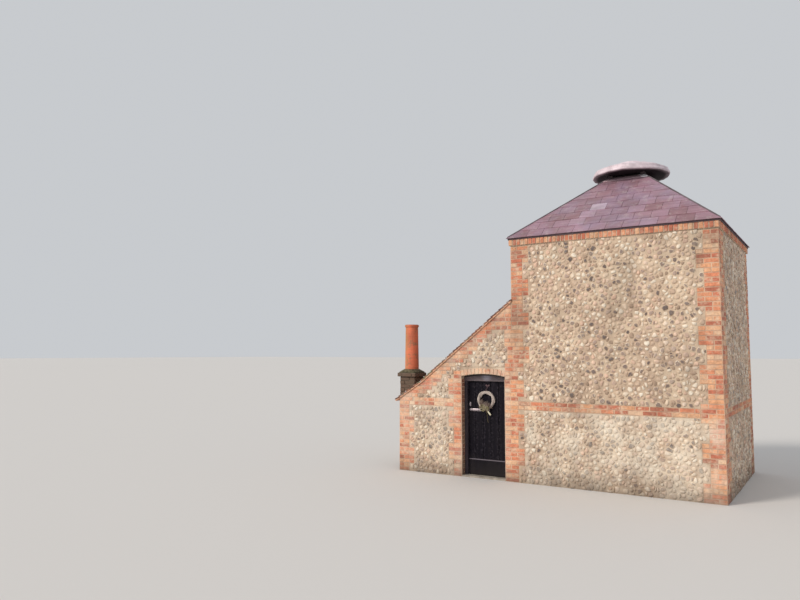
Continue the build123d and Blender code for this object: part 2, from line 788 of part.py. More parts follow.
# Chimney stack: brick from the ground, half in the low wall and half outside it, with one course
# proud at the top and a flue down its middle
with BuildPart() as chimney_stack:
    with BuildSketch(Plane.XY):
        with Locations((stack_x, stack_y)):
            Rectangle(STACK_SIDE, STACK_SIDE)
    extrude(amount=STACK_TOP)
    course_side = STACK_SIDE + 2 * STACK_COURSE_PROUD
    with BuildSketch(Plane.XY.offset(STACK_TOP - STACK_COURSE_HEIGHT)):
        with Locations((stack_x, stack_y)):
            Rectangle(course_side, course_side)
    extrude(amount=STACK_COURSE_HEIGHT)
    with BuildSketch(Plane.XY.offset(FLUE_FLOOR)):
        with Locations((stack_x, stack_y)):
            Rectangle(FLUE_SIDE, FLUE_SIDE)
    extrude(amount=STACK_TOP - FLUE_FLOOR, mode=Mode.SUBTRACT)
save(chimney_stack, "chimney_stack")

# Flaunching: sloped mortar round the foot of the pot
with BuildPart() as flaunching:
    with BuildSketch(Plane((stack_x, stack_y, STACK_TOP))):
        Rectangle(course_side, course_side)
    with BuildSketch(Plane((stack_x, stack_y, STACK_TOP + FLAUNCHING_HEIGHT))):
        Rectangle(FLAUNCHING_TOP, FLAUNCHING_TOP)
    loft()
    with BuildSketch(Plane((stack_x, stack_y, STACK_TOP))):
        Circle(POT_FOOT_RADIUS + CURVE_GAP)
    extrude(amount=FLAUNCHING_HEIGHT, mode=Mode.SUBTRACT)
save(flaunching, "flaunching")

# Chimney pot: a tapered red clay tube with a rolled rim, open right through
pot_rim_z = STACK_TOP + POT_HEIGHT - POT_RIM_HEIGHT
pot_top = STACK_TOP + POT_HEIGHT
pot_foot_top = STACK_TOP + FLAUNCHING_HEIGHT + CURVE_GAP
with BuildPart() as chimney_pot:
    with BuildSketch(Plane.XZ):
        with BuildLine():
            Polyline(
                (POT_BORE_RADIUS, pot_top),
                (POT_BORE_RADIUS, STACK_TOP),
                (POT_FOOT_RADIUS, STACK_TOP),
                (POT_FOOT_RADIUS, pot_foot_top),
                (POT_NECK_RADIUS, pot_rim_z),
            )
            ThreePointArc(
                (POT_NECK_RADIUS, pot_rim_z),
                (POT_RIM_RADIUS, pot_rim_z + POT_RIM_HEIGHT / 2),
                (POT_NECK_RADIUS, pot_top),
            )
            Line((POT_NECK_RADIUS, pot_top), (POT_BORE_RADIUS, pot_top))
        make_face()
    revolve(axis=Axis.Z)
chimney_pot.part = chimney_pot.part.moved(Location((stack_x, stack_y, 0)))
save(chimney_pot, "chimney_pot")

# Door leaf: upright planks edge to edge, with a V groove at each joint on the outside
leaf_width = leaf_right - leaf_left
plank_width = leaf_width / PLANK_COUNT
with BuildPart() as door_planks:
    with BuildSketch(Plane.XY.offset(leaf_bottom)):
        with Locations(((leaf_left + leaf_right) / 2, (leaf_front + leaf_back) / 2)):
            Rectangle(leaf_width, PLANK_THICKNESS)
    extrude(amount=leaf_top - leaf_bottom)
    for i in range(1, PLANK_COUNT):
        joint_x = leaf_left + i * plank_width
        with BuildSketch(Plane.XY.offset(leaf_bottom)):
            with BuildLine():
                Polyline(
                    (joint_x - GROOVE_WIDTH / 2, leaf_front),
                    (joint_x + GROOVE_WIDTH / 2, leaf_front),
                    (joint_x, leaf_front + GROOVE_DEPTH),
                    close=True,
                )
            make_face()
        extrude(amount=leaf_top - leaf_bottom, mode=Mode.SUBTRACT)
save(door_planks, "door_planks")

# Ledges: three boards across the back of the planks
with BuildPart() as door_ledges:
    for z in ledge_heights:
        with BuildSketch(Plane.XY.offset(z - LEDGE_HEIGHT / 2)):
            with Locations(((leaf_left + leaf_right) / 2, (leaf_back + ledge_back) / 2)):
                Rectangle(leaf_width - 2 * LEDGE_INSET, LEDGE_THICKNESS)
        extrude(amount=LEDGE_HEIGHT)
save(door_ledges, "door_ledges")

# Kick board: across the foot of the door, between the posts, with a bevelled top edge
kick_left = doorway_left + FRAME_WIDTH + LEAF_GAP
kick_right = doorway_right - FRAME_WIDTH - LEAF_GAP
kick_front = leaf_front - KICK_THICKNESS
with BuildPart() as kick_board:
    with BuildSketch(Plane.YZ.offset(kick_left)):
        with BuildLine():
            Polyline(
                (leaf_front, leaf_bottom),
                (kick_front, leaf_bottom),
                (kick_front, leaf_bottom + KICK_HEIGHT - KICK_BEVEL),
                (leaf_front, leaf_bottom + KICK_HEIGHT),
                close=True,
            )
        make_face()
    extrude(amount=kick_right - kick_left)
save(kick_board, "kick_board")

# Hinge bands: a flat strap on each outer ledge, tapered to its end, with an eye over the hook's pin
with BuildPart() as hinge_bands:
    for z in hinge_heights:
        with BuildSketch(Plane.XZ.offset(-ledge_back)):
            with BuildLine():
                Polyline(
                    (hinge_x, z - EYE_HEIGHT / 2),
                    (hinge_x, z + EYE_HEIGHT / 2),
                    (hinge_x - EYE_RADIUS, z + BAND_HEIGHT / 2),
                    (hinge_x - BAND_LENGTH, z + BAND_HEIGHT / 4),
                    (hinge_x - BAND_LENGTH, z - BAND_HEIGHT / 4),
                    (hinge_x - EYE_RADIUS, z - BAND_HEIGHT / 2),
                    close=True,
                )
            make_face()
        extrude(amount=-BAND_THICKNESS)
        with BuildSketch(Plane.XY.offset(z - EYE_HEIGHT / 2)):
            with Locations((hinge_x, hinge_y)):
                Circle(EYE_RADIUS)
        extrude(amount=EYE_HEIGHT)
        with BuildSketch(Plane.XY.offset(z - BAND_HEIGHT)):
            with Locations((hinge_x, hinge_y)):
                Circle(PIN_RADIUS + PIN_CLEARANCE)
        extrude(amount=2 * BAND_HEIGHT, mode=Mode.SUBTRACT)
save(hinge_bands, "hinge_bands")

# Bolt: a galvanised plate near the door's free edge with a round bar along it
bolt_left = doorway_left + FRAME_WIDTH + BOLT_INSET
bolt_x = bolt_left + BOLT_LENGTH / 2
bar_y = leaf_front - BOLT_PLATE_THICKNESS - BOLT_BAR_RADIUS + BOLT_BAR_SUNK
with BuildPart() as door_bolt:
    with BuildSketch(Plane.XZ.offset(-(leaf_front - BOLT_PLATE_THICKNESS))):
        with Locations((bolt_x, bolt_z)):
            Rectangle(BOLT_LENGTH, BOLT_PLATE_HEIGHT)
    extrude(amount=-BOLT_PLATE_THICKNESS)
    with BuildSketch(Plane.YZ.offset(bolt_left)):
        with Locations((bar_y, bolt_z)):
            Circle(BOLT_BAR_RADIUS)
    extrude(amount=BOLT_LENGTH)
save(door_bolt, "door_bolt")

# Knob: a small turned knob above the bolt, on an upright back plate with rounded corners
knob_x = bolt_left + KNOB_RADIUS
with BuildPart() as door_knob:
    with BuildSketch(Plane.XZ.offset(-leaf_front)):
        with Locations((knob_x, knob_z)):
            Circle(KNOB_NECK_RADIUS)
    extrude(amount=KNOB_LENGTH / 2)
    with BuildSketch(Plane.XZ.offset(-(leaf_front - KNOB_LENGTH / 2))):
        with Locations((knob_x, knob_z)):
            Circle(KNOB_RADIUS)
    extrude(amount=KNOB_LENGTH / 2)
    fillet(door_knob.faces().sort_by(Axis.Y)[0].edges(), KNOB_ROUNDING)
    with BuildSketch(Plane.XZ.offset(-leaf_front)):
        with Locations((knob_x, knob_z)):
            RectangleRounded(KNOB_PLATE_WIDTH, KNOB_PLATE_HEIGHT, KNOB_PLATE_ROUNDING)
    extrude(amount=KNOB_PLATE_THICKNESS)
save(door_knob, "door_knob")

# Wreath: a ring of twigs that hangs on the planks
wreath_y = leaf_front - WREATH_TUBE - SEAT_GAP
with BuildPart() as wreath:
    with BuildSketch(Plane.XZ):
        with Locations((WREATH_RADIUS, 0)):
            Circle(WREATH_TUBE)
    revolve(axis=Axis.Z)
wreath.part = wreath.part.rotate(Axis.X, 90)
wreath.part = wreath.part.moved(Location((doorway_x, wreath_y, wreath_z)))
save(wreath, "wreath")
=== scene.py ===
# The finish of an oast house: flint and brick walls, slated kiln roof with a round lead cap, and a
# tiled lean-to with a plank door and a chimney. Metres, +Z up, front faces -Y.
import math

import bpy
import numpy as np
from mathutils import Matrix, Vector


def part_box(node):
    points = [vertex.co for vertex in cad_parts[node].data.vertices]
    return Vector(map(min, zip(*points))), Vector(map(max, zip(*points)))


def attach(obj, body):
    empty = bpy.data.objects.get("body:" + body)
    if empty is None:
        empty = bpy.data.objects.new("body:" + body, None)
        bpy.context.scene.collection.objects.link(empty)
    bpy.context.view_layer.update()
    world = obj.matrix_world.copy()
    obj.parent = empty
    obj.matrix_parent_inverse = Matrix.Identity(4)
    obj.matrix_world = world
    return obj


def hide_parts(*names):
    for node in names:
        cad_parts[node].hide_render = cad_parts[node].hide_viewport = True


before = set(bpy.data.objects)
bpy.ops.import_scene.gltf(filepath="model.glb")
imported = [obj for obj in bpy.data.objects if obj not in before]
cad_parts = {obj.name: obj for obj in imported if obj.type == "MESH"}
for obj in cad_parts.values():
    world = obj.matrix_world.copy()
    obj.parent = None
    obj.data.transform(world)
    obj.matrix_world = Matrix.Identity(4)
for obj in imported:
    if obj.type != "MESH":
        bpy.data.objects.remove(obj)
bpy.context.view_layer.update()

# Camera
# Stands to the right of the front, at eye height, and looks back up at the kiln and the gable.
CAMERA_PLACE = (4.639, -13.195, 2.28)
CAMERA_RISE = 4.42
CAMERA_TURN = 33.07
FOCAL_PIXELS = 686.1
PICTURE_WIDTH = 800
SENSOR_WIDTH = 36

camera_data = bpy.data.cameras.new("camera")
camera_data.sensor_width = SENSOR_WIDTH
camera_data.lens = FOCAL_PIXELS / PICTURE_WIDTH * SENSOR_WIDTH
camera = bpy.data.objects.new("camera", camera_data)
camera.location = CAMERA_PLACE
camera.rotation_euler = (math.radians(90 + CAMERA_RISE), 0, math.radians(CAMERA_TURN))
bpy.context.scene.collection.objects.link(camera)
bpy.context.scene.camera = camera


# Floor and light
# A plain pale floor under an even pale sky. One broad sun from high on the front left lights the
# front, and the right side lies in soft shade.
FLOOR_REACH = 300
FLOOR_COLOUR = (0.66, 0.64, 0.62, 1)
SKY_COLOUR = (0.93, 0.96, 1.0, 1)
SKY_STRENGTH = 0.62
SUN_FROM = (-0.46, -0.70, 0.55)
SUN_STRENGTH = 2.1
SUN_SOFTNESS = math.radians(16)
SUN_COLOUR = (1.0, 0.93, 0.84)


def node(tree, kind, inputs=(), **settings):
    """Adds a shader node and returns its outputs; inputs maps a name or number to a value or socket."""
    made = tree.nodes.new("ShaderNode" + kind)
    for key, value in settings.items():
        setattr(made, key, value)
    for key, value in dict(inputs).items():
        if isinstance(value, bpy.types.NodeSocket):
            tree.links.new(value, made.inputs[key])
        else:
            made.inputs[key].default_value = value
    return made.outputs


def blank_finish(name, roughness):
    """A material with a Principled shader; returns it, its tree, the shader and Object coordinates."""
    material = bpy.data.materials.new(name)
    material.use_nodes = True
    tree = material.node_tree
    shader = tree.nodes["Principled BSDF"]
    shader.inputs["Roughness"].default_value = roughness
    return material, tree, shader, node(tree, "TexCoord")["Object"]


sun_data = bpy.data.lights.new("soft_sun", "SUN")
sun_data.energy = SUN_STRENGTH
sun_data.angle = SUN_SOFTNESS
sun_data.color = SUN_COLOUR
sun = bpy.data.objects.new("soft_sun", sun_data)
sun.rotation_euler = Vector(SUN_FROM).to_track_quat("Z", "Y").to_euler()
bpy.context.scene.collection.objects.link(sun)
world = bpy.data.worlds.new("sky")
world.use_nodes = True
world.node_tree.nodes["Background"].inputs["Color"].default_value = SKY_COLOUR
world.node_tree.nodes["Background"].inputs["Strength"].default_value = SKY_STRENGTH
bpy.context.scene.world = world
bpy.context.scene.view_settings.view_transform = "Standard"

floor_mesh = bpy.data.meshes.new("floor")
floor_mesh.from_pydata(
    [(x * FLOOR_REACH, y * FLOOR_REACH, 0) for x, y in ((-1, -1), (1, -1), (1, 1), (-1, 1))],
    [],
    [(0, 1, 2, 3)],
)
floor_finish, _, floor_shader, _ = blank_finish("pale_floor", 0.9)
floor_shader.inputs["Base Color"].default_value = FLOOR_COLOUR
floor_mesh.materials.append(floor_finish)
floor = bpy.data.objects.new("floor", floor_mesh)
bpy.context.scene.collection.objects.link(floor)


# Lime mortar of the walls
# The walls are flint rubble bedded in cream lime mortar. The wall itself is the mortar here: sandy,
# blotched by rain, dirtier over the ground, and whitewashed low on the kiln's front and, thinly,
# on the gable.
MORTAR_PALE = (0.76, 0.60, 0.44, 1)
MORTAR_DARK = (0.55, 0.40, 0.29, 1)
GRIME = (0.15, 0.105, 0.075, 1)
LIMEWASH = (0.84, 0.75, 0.62, 1)
LIMEWASH_TOP = 1.27
GABLE_COAT = 0.5
KILN_COAT_X = (-0.20, -0.15)
GABLE_COAT_X = (-0.50, -0.45)
FRONT_COAT_Y = (-1.72, -1.70)
SPLASH_HEIGHT = 0.45
STREAK_STRETCH = (5.0, 5.0, 0.5)


def mix_colours(tree, share, first, second, mode="MIX"):
    """The second colour laid over the first by a share from 0 to 1."""
    inputs = {0: share, 6: first, 7: second}
    return node(tree, "Mix", inputs, data_type="RGBA", blend_type=mode, clamp_factor=True)[2]


def maths(tree, operation, first, second=0.0, clamp=False):
    """A sum, product or other operation on two numbers."""
    return node(tree, "Math", {0: first, 1: second}, operation=operation, use_clamp=clamp)[0]


def spread(tree, value, low, high, start=0.0, end=1.0):
    """Maps a value from low..high to start..end, held at both ends."""
    inputs = {"Value": value, "From Min": low, "From Max": high, "To Min": start, "To Max": end}
    return node(tree, "MapRange", inputs)[0]


def noise(tree, where, scale, detail=4.0, roughness=0.55):
    """Soft blotches of about 1/scale metres, from 0 to 1."""
    inputs = {"Vector": where, "Scale": scale, "Detail": detail, "Roughness": roughness}
    return node(tree, "TexNoise", inputs)["Fac"]


def stretched(tree, where, factors):
    """Coordinates multiplied axis by axis, so that a pattern runs along one of them."""
    return node(tree, "Mapping", {"Vector": where, "Scale": factors})[0]


def new_effect(name, inputs, outputs):
    """An empty shader node group: sockets by name and kind; returns the tree and its two ends."""
    tree = bpy.data.node_groups.new(name, "ShaderNodeTree")
    for side, sockets in (("INPUT", inputs), ("OUTPUT", outputs)):
        for socket, kind in sockets.items():
            tree.interface.new_socket(name=socket, in_out=side, socket_type="NodeSocket" + kind)
    return tree, tree.nodes.new("NodeGroupInput").outputs, tree.nodes.new("NodeGroupOutput").inputs


def use_effect(tree, effect, inputs):
    """Places a node group in a material with its own values."""
    return node(tree, "Group", inputs, node_tree=effect)


# Weather: rain streaks that run down, broad blotches, and splashes over the ground
weather, w_in, w_out = new_effect(
    "weather",
    {"Color": "Color", "Grime": "Color", "Where": "Vector", "Amount": "Float", "Splash": "Float"},
    {"Color": "Color", "Mask": "Float"},
)
streaks = noise(weather, stretched(weather, w_in["Where"], STREAK_STRETCH), 1.0, 5.0)
blotches = noise(weather, w_in["Where"], 1.4, 5.0)
running = spread(weather, maths(weather, "MULTIPLY", streaks, blotches), 0.20, 0.42)
height = node(weather, "SeparateXYZ", {0: w_in["Where"]})["Z"]
wander = spread(weather, noise(weather, w_in["Where"], 2.6), 0.3, 0.7, 0.45, 1.25)
low = spread(weather, maths(weather, "DIVIDE", height, wander), 0.0, SPLASH_HEIGHT, 1.0, 0.0)
splash = maths(weather, "MULTIPLY", low, w_in["Splash"])
soiled = maths(weather, "MULTIPLY", running, w_in["Amount"])
soiled = maths(weather, "ADD", soiled, splash, clamp=True)
weather.links.new(mix_colours(weather, soiled, w_in["Color"], w_in["Grime"]), w_out["Color"])
weather.links.new(soiled, w_out["Mask"])

# Limewash: a worn white coat on the kiln's front below the brick band, and a thin one on the gable
limewash, l_in, l_out = new_effect(
    "limewash", {"Color": "Color", "Where": "Vector", "Amount": "Float"}, {"Color": "Color"}
)
place = node(limewash, "SeparateXYZ", {0: l_in["Where"]})
below = spread(limewash, place["Z"], LIMEWASH_TOP - 0.01, LIMEWASH_TOP, 1.0, 0.0)
on_kiln = spread(limewash, place["X"], *KILN_COAT_X)
on_front = spread(limewash, place["Y"], *FRONT_COAT_Y, 1.0, 0.0)
worn = spread(limewash, noise(limewash, l_in["Where"], 2.4, 8.0, 0.7), 0.40, 0.66)
on_gable = spread(limewash, place["X"], *GABLE_COAT_X, GABLE_COAT, 0.0)
coat = maths(limewash, "ADD", maths(limewash, "MULTIPLY", below, on_kiln), on_gable)
coat = maths(limewash, "MULTIPLY", coat, on_front)
coat = maths(limewash, "MULTIPLY", maths(limewash, "MULTIPLY", coat, worn), l_in["Amount"])
limewash.links.new(mix_colours(limewash, coat, l_in["Color"], LIMEWASH), l_out["Color"])

# Pitting: a fine rough surface, as a height
pitting, p_in, p_out = new_effect(
    "pitting", {"Where": "Vector", "Scale": "Float"}, {"Height": "Float"}
)
coarse = noise(pitting, p_in["Where"], p_in["Scale"], 6.0, 0.65)
sharp = noise(pitting, p_in["Where"], maths(pitting, "MULTIPLY", p_in["Scale"], 4.3), 3.0)
pitting.links.new(
    maths(pitting, "ADD", coarse, maths(pitting, "MULTIPLY", sharp, 0.45)), p_out["Height"]
)


def roughen(tree, shader, height, strength, depth):
    """Feeds a height to the shader's normal through a Bump node."""
    inputs = {"Height": height, "Strength": strength, "Distance": depth}
    tree.links.new(node(tree, "Bump", inputs)["Normal"], shader.inputs["Normal"])


def pitted(tree, shader, where, scale, strength, depth):
    """Gives the shader a pitted surface."""
    pits = use_effect(tree, pitting, {"Where": where, "Scale": scale})["Height"]
    roughen(tree, shader, pits, strength, depth)


def toned(tree, colour, factor):
    """A colour made darker or lighter by a factor."""
    return mix_colours(tree, 1.0, colour, factor, "MULTIPLY")


def limewashed(tree, colour, where, amount):
    """A colour under the limewash."""
    return use_effect(tree, limewash, {"Color": colour, "Where": where, "Amount": amount})["Color"]


def weathered(tree, colour, where, amount, splash=0.0, grime=GRIME):
    """A colour under the weather's streaks and splashes."""
    soil = {"Color": colour, "Grime": grime, "Where": where, "Amount": amount, "Splash": splash}
    return use_effect(tree, weather, soil)["Color"]


def coloured(tree, shader, colour):
    """Feeds a colour to the shader."""
    tree.links.new(colour, shader.inputs["Base Color"])


def dress(material, *names):
    """Gives CAD nodes their material."""
    for name in names:
        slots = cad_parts[name].data.materials
        slots.clear()
        slots.append(material)


mortar, tree, shader, where = blank_finish("lime_mortar", 0.92)
tone = spread(tree, noise(tree, where, 3.1, 6.0), 0.35, 0.65)
colour = mix_colours(tree, tone, MORTAR_DARK, MORTAR_PALE)
sand = spread(tree, noise(tree, where, 160.0, 2.0), 0.35, 0.62, 0.78, 1.08)
colour = toned(tree, colour, sand)
colour = limewashed(tree, colour, where, 0.95)
coloured(tree, shader, weathered(tree, colour, where, 0.35, 0.55))
pitted(tree, shader, where, 45.0, 0.7, 0.008)
dress(
    mortar,
    "kiln_front_wall", "kiln_right_wall", "kiln_back_wall", "kiln_side_wall_front",
    "kiln_side_wall_back", "kiln_side_wall_over", "gable_wall_left", "gable_wall_right",
    "gable_wall_over", "lean_to_back_wall", "lean_to_side_wall", "door_arch",
    "eaves_course_front", "eaves_course_right", "eaves_course_back", "eaves_course_left",
)


# Brick dressings
# Soft orange-red bricks laid in lime: toothed quoins at every corner and beside the door, a band
# of two courses round the walls, and a toothed band up the rake that closes over the door's head.
# Their faces are level with the flint panels between them.
COURSE = 0.075
JOINT = 0.012
JOINT_FILL = 0.005
BRICK_MODULE = 0.225
BRICK_PROUD = 0.009
BRICK_SUNK = 0.006
BRICK_ARRIS = 0.004
BRICK_LINES = (5, 3)
BRICK_LEAN = 0.0016
BRICK_ROUGH = 0.0008
STUB_LEAST = 0.06
RUN_LEAST = 0.05
JOINT_ARRIS = 0.001
QUOIN_WIDE = 0.335
QUOIN_NARROW = 0.225
RETURN_WIDE = 0.450
RETURN_NARROW = 0.340
QUOIN_BLOCK = 4
HALF_BLOCK = 2
PANEL_PROUD = 0.008
BAND_COURSES = (17, 18)
RAKE_WIDE = 0.32
RAKE_NARROW = 0.24
STEP_WIDE = 0.50
STEP_NARROW = 0.28
ALL_BRICK_ABOVE = 2.65
BRICK_TONES = [
    (0.00, (0.84, 0.54, 0.34, 1)),
    (0.20, (0.81, 0.40, 0.215, 1)),
    (0.45, (0.74, 0.275, 0.15, 1)),
    (0.70, (0.62, 0.19, 0.11, 1)),
    (0.88, (0.46, 0.16, 0.10, 1)),
    (1.00, (0.85, 0.59, 0.40, 1)),
]
BRICK_DIRT_AND_SHADE = (0.105, 0.073, 0.050, 1)
REVEAL_DIRT_AND_SHADE = 0.55
JOINT_PALE = (0.80, 0.55, 0.38, 1)
JOINT_DARK = (0.58, 0.36, 0.25, 1)
JAMB_WIDE = 0.275
JAMB_NARROW = 0.165
STRIP_WIDE = 0.225
STRIP_NARROW = 0.115
TOOTH_WIDE = 0.145
TOOTH_NARROW = 0.090
READ_SLACK = 0.001
GROUND_CLEAR = 0.1

kiln_low, kiln_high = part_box("kiln_front_wall")
gable_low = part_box("gable_wall_left")[0]
jamb_low, jamb_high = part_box("gable_wall_right")
arch_low, arch_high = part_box("door_arch")
course_low, course_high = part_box("eaves_course_front")
FRONT_Y, BACK_Y, INNER_Y = jamb_low.y, -jamb_low.y, jamb_high.y
LEFT_X, SIDE_X, RIGHT_X = gable_low.x, kiln_low.x, kiln_high.x
DOOR_LEFT, DOOR_RIGHT = arch_low.x, arch_high.x
WALL_TOP = kiln_high.z
LEAN_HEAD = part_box("lean_to_roof")[1].z
UPRIGHT = (0, 0, 1)


def cad_points(name):
    """The points of a CAD node's mesh, one row each."""
    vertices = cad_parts[name].data.vertices
    points = np.empty(3 * len(vertices), np.float32)
    vertices.foreach_get("co", points)
    return points.reshape(-1, 3).astype(float)


# The top of the lean-to walls, from the low end to the kiln, read off the far gable's inner face
outline = cad_points("lean_to_back_wall")
inner_face = outline[:, 1] < outline[:, 1].min() + READ_SLACK
outline = outline[inner_face & (outline[:, 2] > GROUND_CLEAR)]
rake_line = outline[np.argsort(outline[:, 0])][:, (0, 2)]
RAKE_KINK_X, RAKE_KINK_Z = rake_line[len(rake_line) // 2]
RAKE_FOOT, RAKE_TOP = rake_line[0, 1], rake_line[-1, 1]


def rake_height(x):
    """Height of the lean-to walls' top at a place across."""
    return np.interp(x, rake_line[:, 0], rake_line[:, 1])


def rake_place(z):
    """Place across where the rake reaches a height: the rake's line turned round."""
    across = np.linspace(LEFT_X, SIDE_X, 200)
    return np.interp(z, rake_height(across), across)


def add_mesh(name, points, material, wrap=False, looped=False, smooth=True, **marks):
    """Joins like surfaces into one mesh object and returns it.

    points is surfaces x rows x columns x 3, and each cell of a grid is a face. With wrap the last
    column joins the first, and a face closes the first and the last row. With looped columns and
    rows both join up. Otherwise one face behind closes the outer edge. A mark is one number a
    surface, or one for each point.
    """
    count, rows, columns = points.shape[:3]
    index = np.arange(rows * columns).reshape(rows, columns)
    if looped:
        ring = np.pad(index, ((0, 1), (0, 1)), mode="wrap")
        ends = []
    elif wrap:
        ring = np.pad(index, ((0, 0), (0, 1)), mode="wrap")
        ends = [index[0, ::-1], index[-1]]
    else:
        ring = index
        edge = [index[0, :-1], index[:-1, -1], index[-1, :0:-1], index[:0:-1, 0]]
        ends = [np.concatenate(edge)[::-1]]
    cells = np.stack([ring[:-1, :-1], ring[:-1, 1:], ring[1:, 1:], ring[1:, :-1]], -1)
    corners = np.concatenate([cells.ravel(), *ends])
    sizes = np.array([4] * (cells.size // 4) + [len(end) for end in ends])
    steps = np.arange(count)[:, None]
    corners = (corners + steps * rows * columns).ravel()
    starts = (np.cumsum(sizes) - sizes + steps * sizes.sum()).ravel()
    mesh = bpy.data.meshes.new(name)
    mesh.vertices.add(count * rows * columns)
    mesh.vertices.foreach_set("co", points.astype(np.float32).ravel())
    mesh.loops.add(len(corners))
    mesh.loops.foreach_set("vertex_index", corners.astype(np.int32))
    mesh.polygons.add(len(starts))
    mesh.polygons.foreach_set("loop_start", starts.astype(np.int32))
    mesh.update(calc_edges=True)
    mesh.polygons.foreach_set("use_smooth", np.full(len(starts), smooth))
    for key, values in marks.items():
        values = np.asarray(values, float)
        values = values.reshape(values.shape + (1,) * (3 - values.ndim))
        values = np.broadcast_to(values, points.shape[:3]).astype(np.float32)
        mesh.attributes.new(key, "FLOAT", "POINT").data.foreach_set("value", values.ravel())
    mesh.materials.append(material)
    made = bpy.data.objects.new(name, mesh)
    bpy.context.scene.collection.objects.link(made)
    return made


def laid(corners, plane, top, thick, arris, columns, rows):
    """Points of pieces laid on a plane, each a pillow over its own four corners.

    The place on the plane is the blend of the corners (bottom left, bottom right, top right, top
    left) at two shares from 0 to 1, with one more line an arris inside each edge. The height over
    the plane is `top`, and the outermost line lies `thick` lower, which gives the piece its sides.
    """
    corners = np.asarray(corners, float)
    origin, across, up = (np.asarray(v, float) for v in plane)

    def shares(length, count):
        """Shares of a length: both ends, an arris inside each, and even steps between."""
        inset = np.clip(arris / np.maximum(length, 1e-6), 0, 0.3)[:, None]
        inner = inset + (1 - 2 * inset) * np.linspace(0, 1, count)
        return np.hstack([inset * 0, inner, inset * 0 + 1])

    a = shares(np.linalg.norm(corners[:, 1] - corners[:, 0], axis=1), columns)[:, None, :, None]
    b = shares(np.linalg.norm(corners[:, 3] - corners[:, 0], axis=1), rows)[:, :, None, None]
    c = corners[:, None, None]
    flat = (1 - b) * ((1 - a) * c[..., 0, :] + a * c[..., 1, :])
    flat = flat + b * ((1 - a) * c[..., 3, :] + a * c[..., 2, :])
    high = np.broadcast_to(top, flat.shape[:3]).copy()
    edge = np.ones(flat.shape[1:3], bool)
    edge[1:-1, 1:-1] = False
    high[:, edge] -= np.broadcast_to(thick, flat.shape[:3])[:, edge]
    out = np.cross(across, up)
    return origin + flat[..., :1] * across + flat[..., 1:] * up + high[..., None] * out


def lay_course(course, left, right, left_above=None, right_above=None):
    """Bricks of one course between two ends, half a brick on in every other course.

    An end may lean: its place at the course's top is given by left_above or right_above. Joints
    come at whole bricks from the upright part of the left end, and too short a stub is not cut.
    """
    left_above = left if left_above is None else left_above
    right_above = right if right_above is None else right_above
    bottom = course * COURSE + JOINT / 2
    top = (course + 1) * COURSE - JOINT / 2
    start = max(left, left_above)
    end = min(right, right_above)
    first = BRICK_MODULE * (0.5 if course % 2 else 1.0)
    joints = [j for j in np.arange(start + first, end, BRICK_MODULE) if end - j > STUB_LEAST]
    lows = [left, *joints]
    highs = [*joints, right]
    low_tops = [left_above, *joints]
    high_tops = [*joints, right_above]
    half = JOINT / 2
    return [
        [(a + half, bottom), (b - half, bottom), (d - half, top), (c + half, top)]
        for a, b, c, d in zip(lows, highs, low_tops, high_tops)
    ]


def course_outline(course, left, right, left_above=None, right_above=None):
    """Corners of one whole course between its two ends."""
    left_above = left if left_above is None else left_above
    right_above = right if right_above is None else right_above
    bottom, top = course * COURSE, (course + 1) * COURSE
    return [(left, bottom), (right, bottom), (right_above, top), (left_above, top)]


def quoin_width(course, wide=QUOIN_WIDE, narrow=QUOIN_NARROW):
    """Reach of a toothed block: wide and narrow by turns, a few courses each."""
    return wide if (course // QUOIN_BLOCK) % 2 else narrow


def ramp(tree, value, stops):
    """A colour read off a row of (place, colour) stops."""
    made = tree.nodes.new("ShaderNodeValToRGB")
    tree.links.new(value, made.inputs[0])
    elements = made.color_ramp.elements
    elements[0].position, elements[0].color = stops[0]
    elements[-1].position, elements[-1].color = stops[-1]
    for place, colour in stops[1:-1]:
        elements.new(place).color = colour
    return made.outputs["Color"]


def mark(tree, name):
    """A number kept at the mesh's points under a name."""
    return node(tree, "Attribute", attribute_name=name)["Fac"]


brick, tree, shader, where = blank_finish("soft_brick", 0.88)
colour = ramp(tree, mark(tree, "tone"), BRICK_TONES)
mottle = spread(tree, noise(tree, where, 28.0, 5.0), 0.3, 0.7, 0.72, 1.18)
colour = toned(tree, colour, mottle)
smear = maths(tree, "ADD", noise(tree, where, 9.0, 6.0, 0.7), mark(tree, "limed"))
smear = spread(tree, smear, 0.50, 0.66, 0.0, 0.65)
colour = mix_colours(tree, smear, colour, MORTAR_PALE)
# A mark at the points darkens a brick towards near-black brown: grime together with painted shade.
colour = mix_colours(tree, mark(tree, "dirt"), colour, BRICK_DIRT_AND_SHADE)
colour = limewashed(tree, colour, where, 0.7)
coloured(tree, shader, weathered(tree, colour, where, 0.45, 0.6))
pitted(tree, shader, where, 70.0, 0.6, 0.004)

joint_mortar, tree, shader, where = blank_finish("joint_mortar", 0.92)
tone = spread(tree, noise(tree, where, 6.0, 6.0), 0.35, 0.65)
colour = mix_colours(tree, tone, JOINT_DARK, JOINT_PALE)
colour = limewashed(tree, colour, where, 0.8)
coloured(tree, shader, weathered(tree, colour, where, 0.4, 0.6))
pitted(tree, shader, where, 70.0, 0.6, 0.005)


def add_joints(name, corners, plane):
    """Mortar that fills the joints behind the bricks to within a few millimetres of their faces."""
    points = laid(corners, plane, JOINT_FILL, JOINT_FILL, JOINT_ARRIS, 2, 2)
    made = add_mesh(name, points, joint_mortar, smooth=False)
    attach(made, "building")


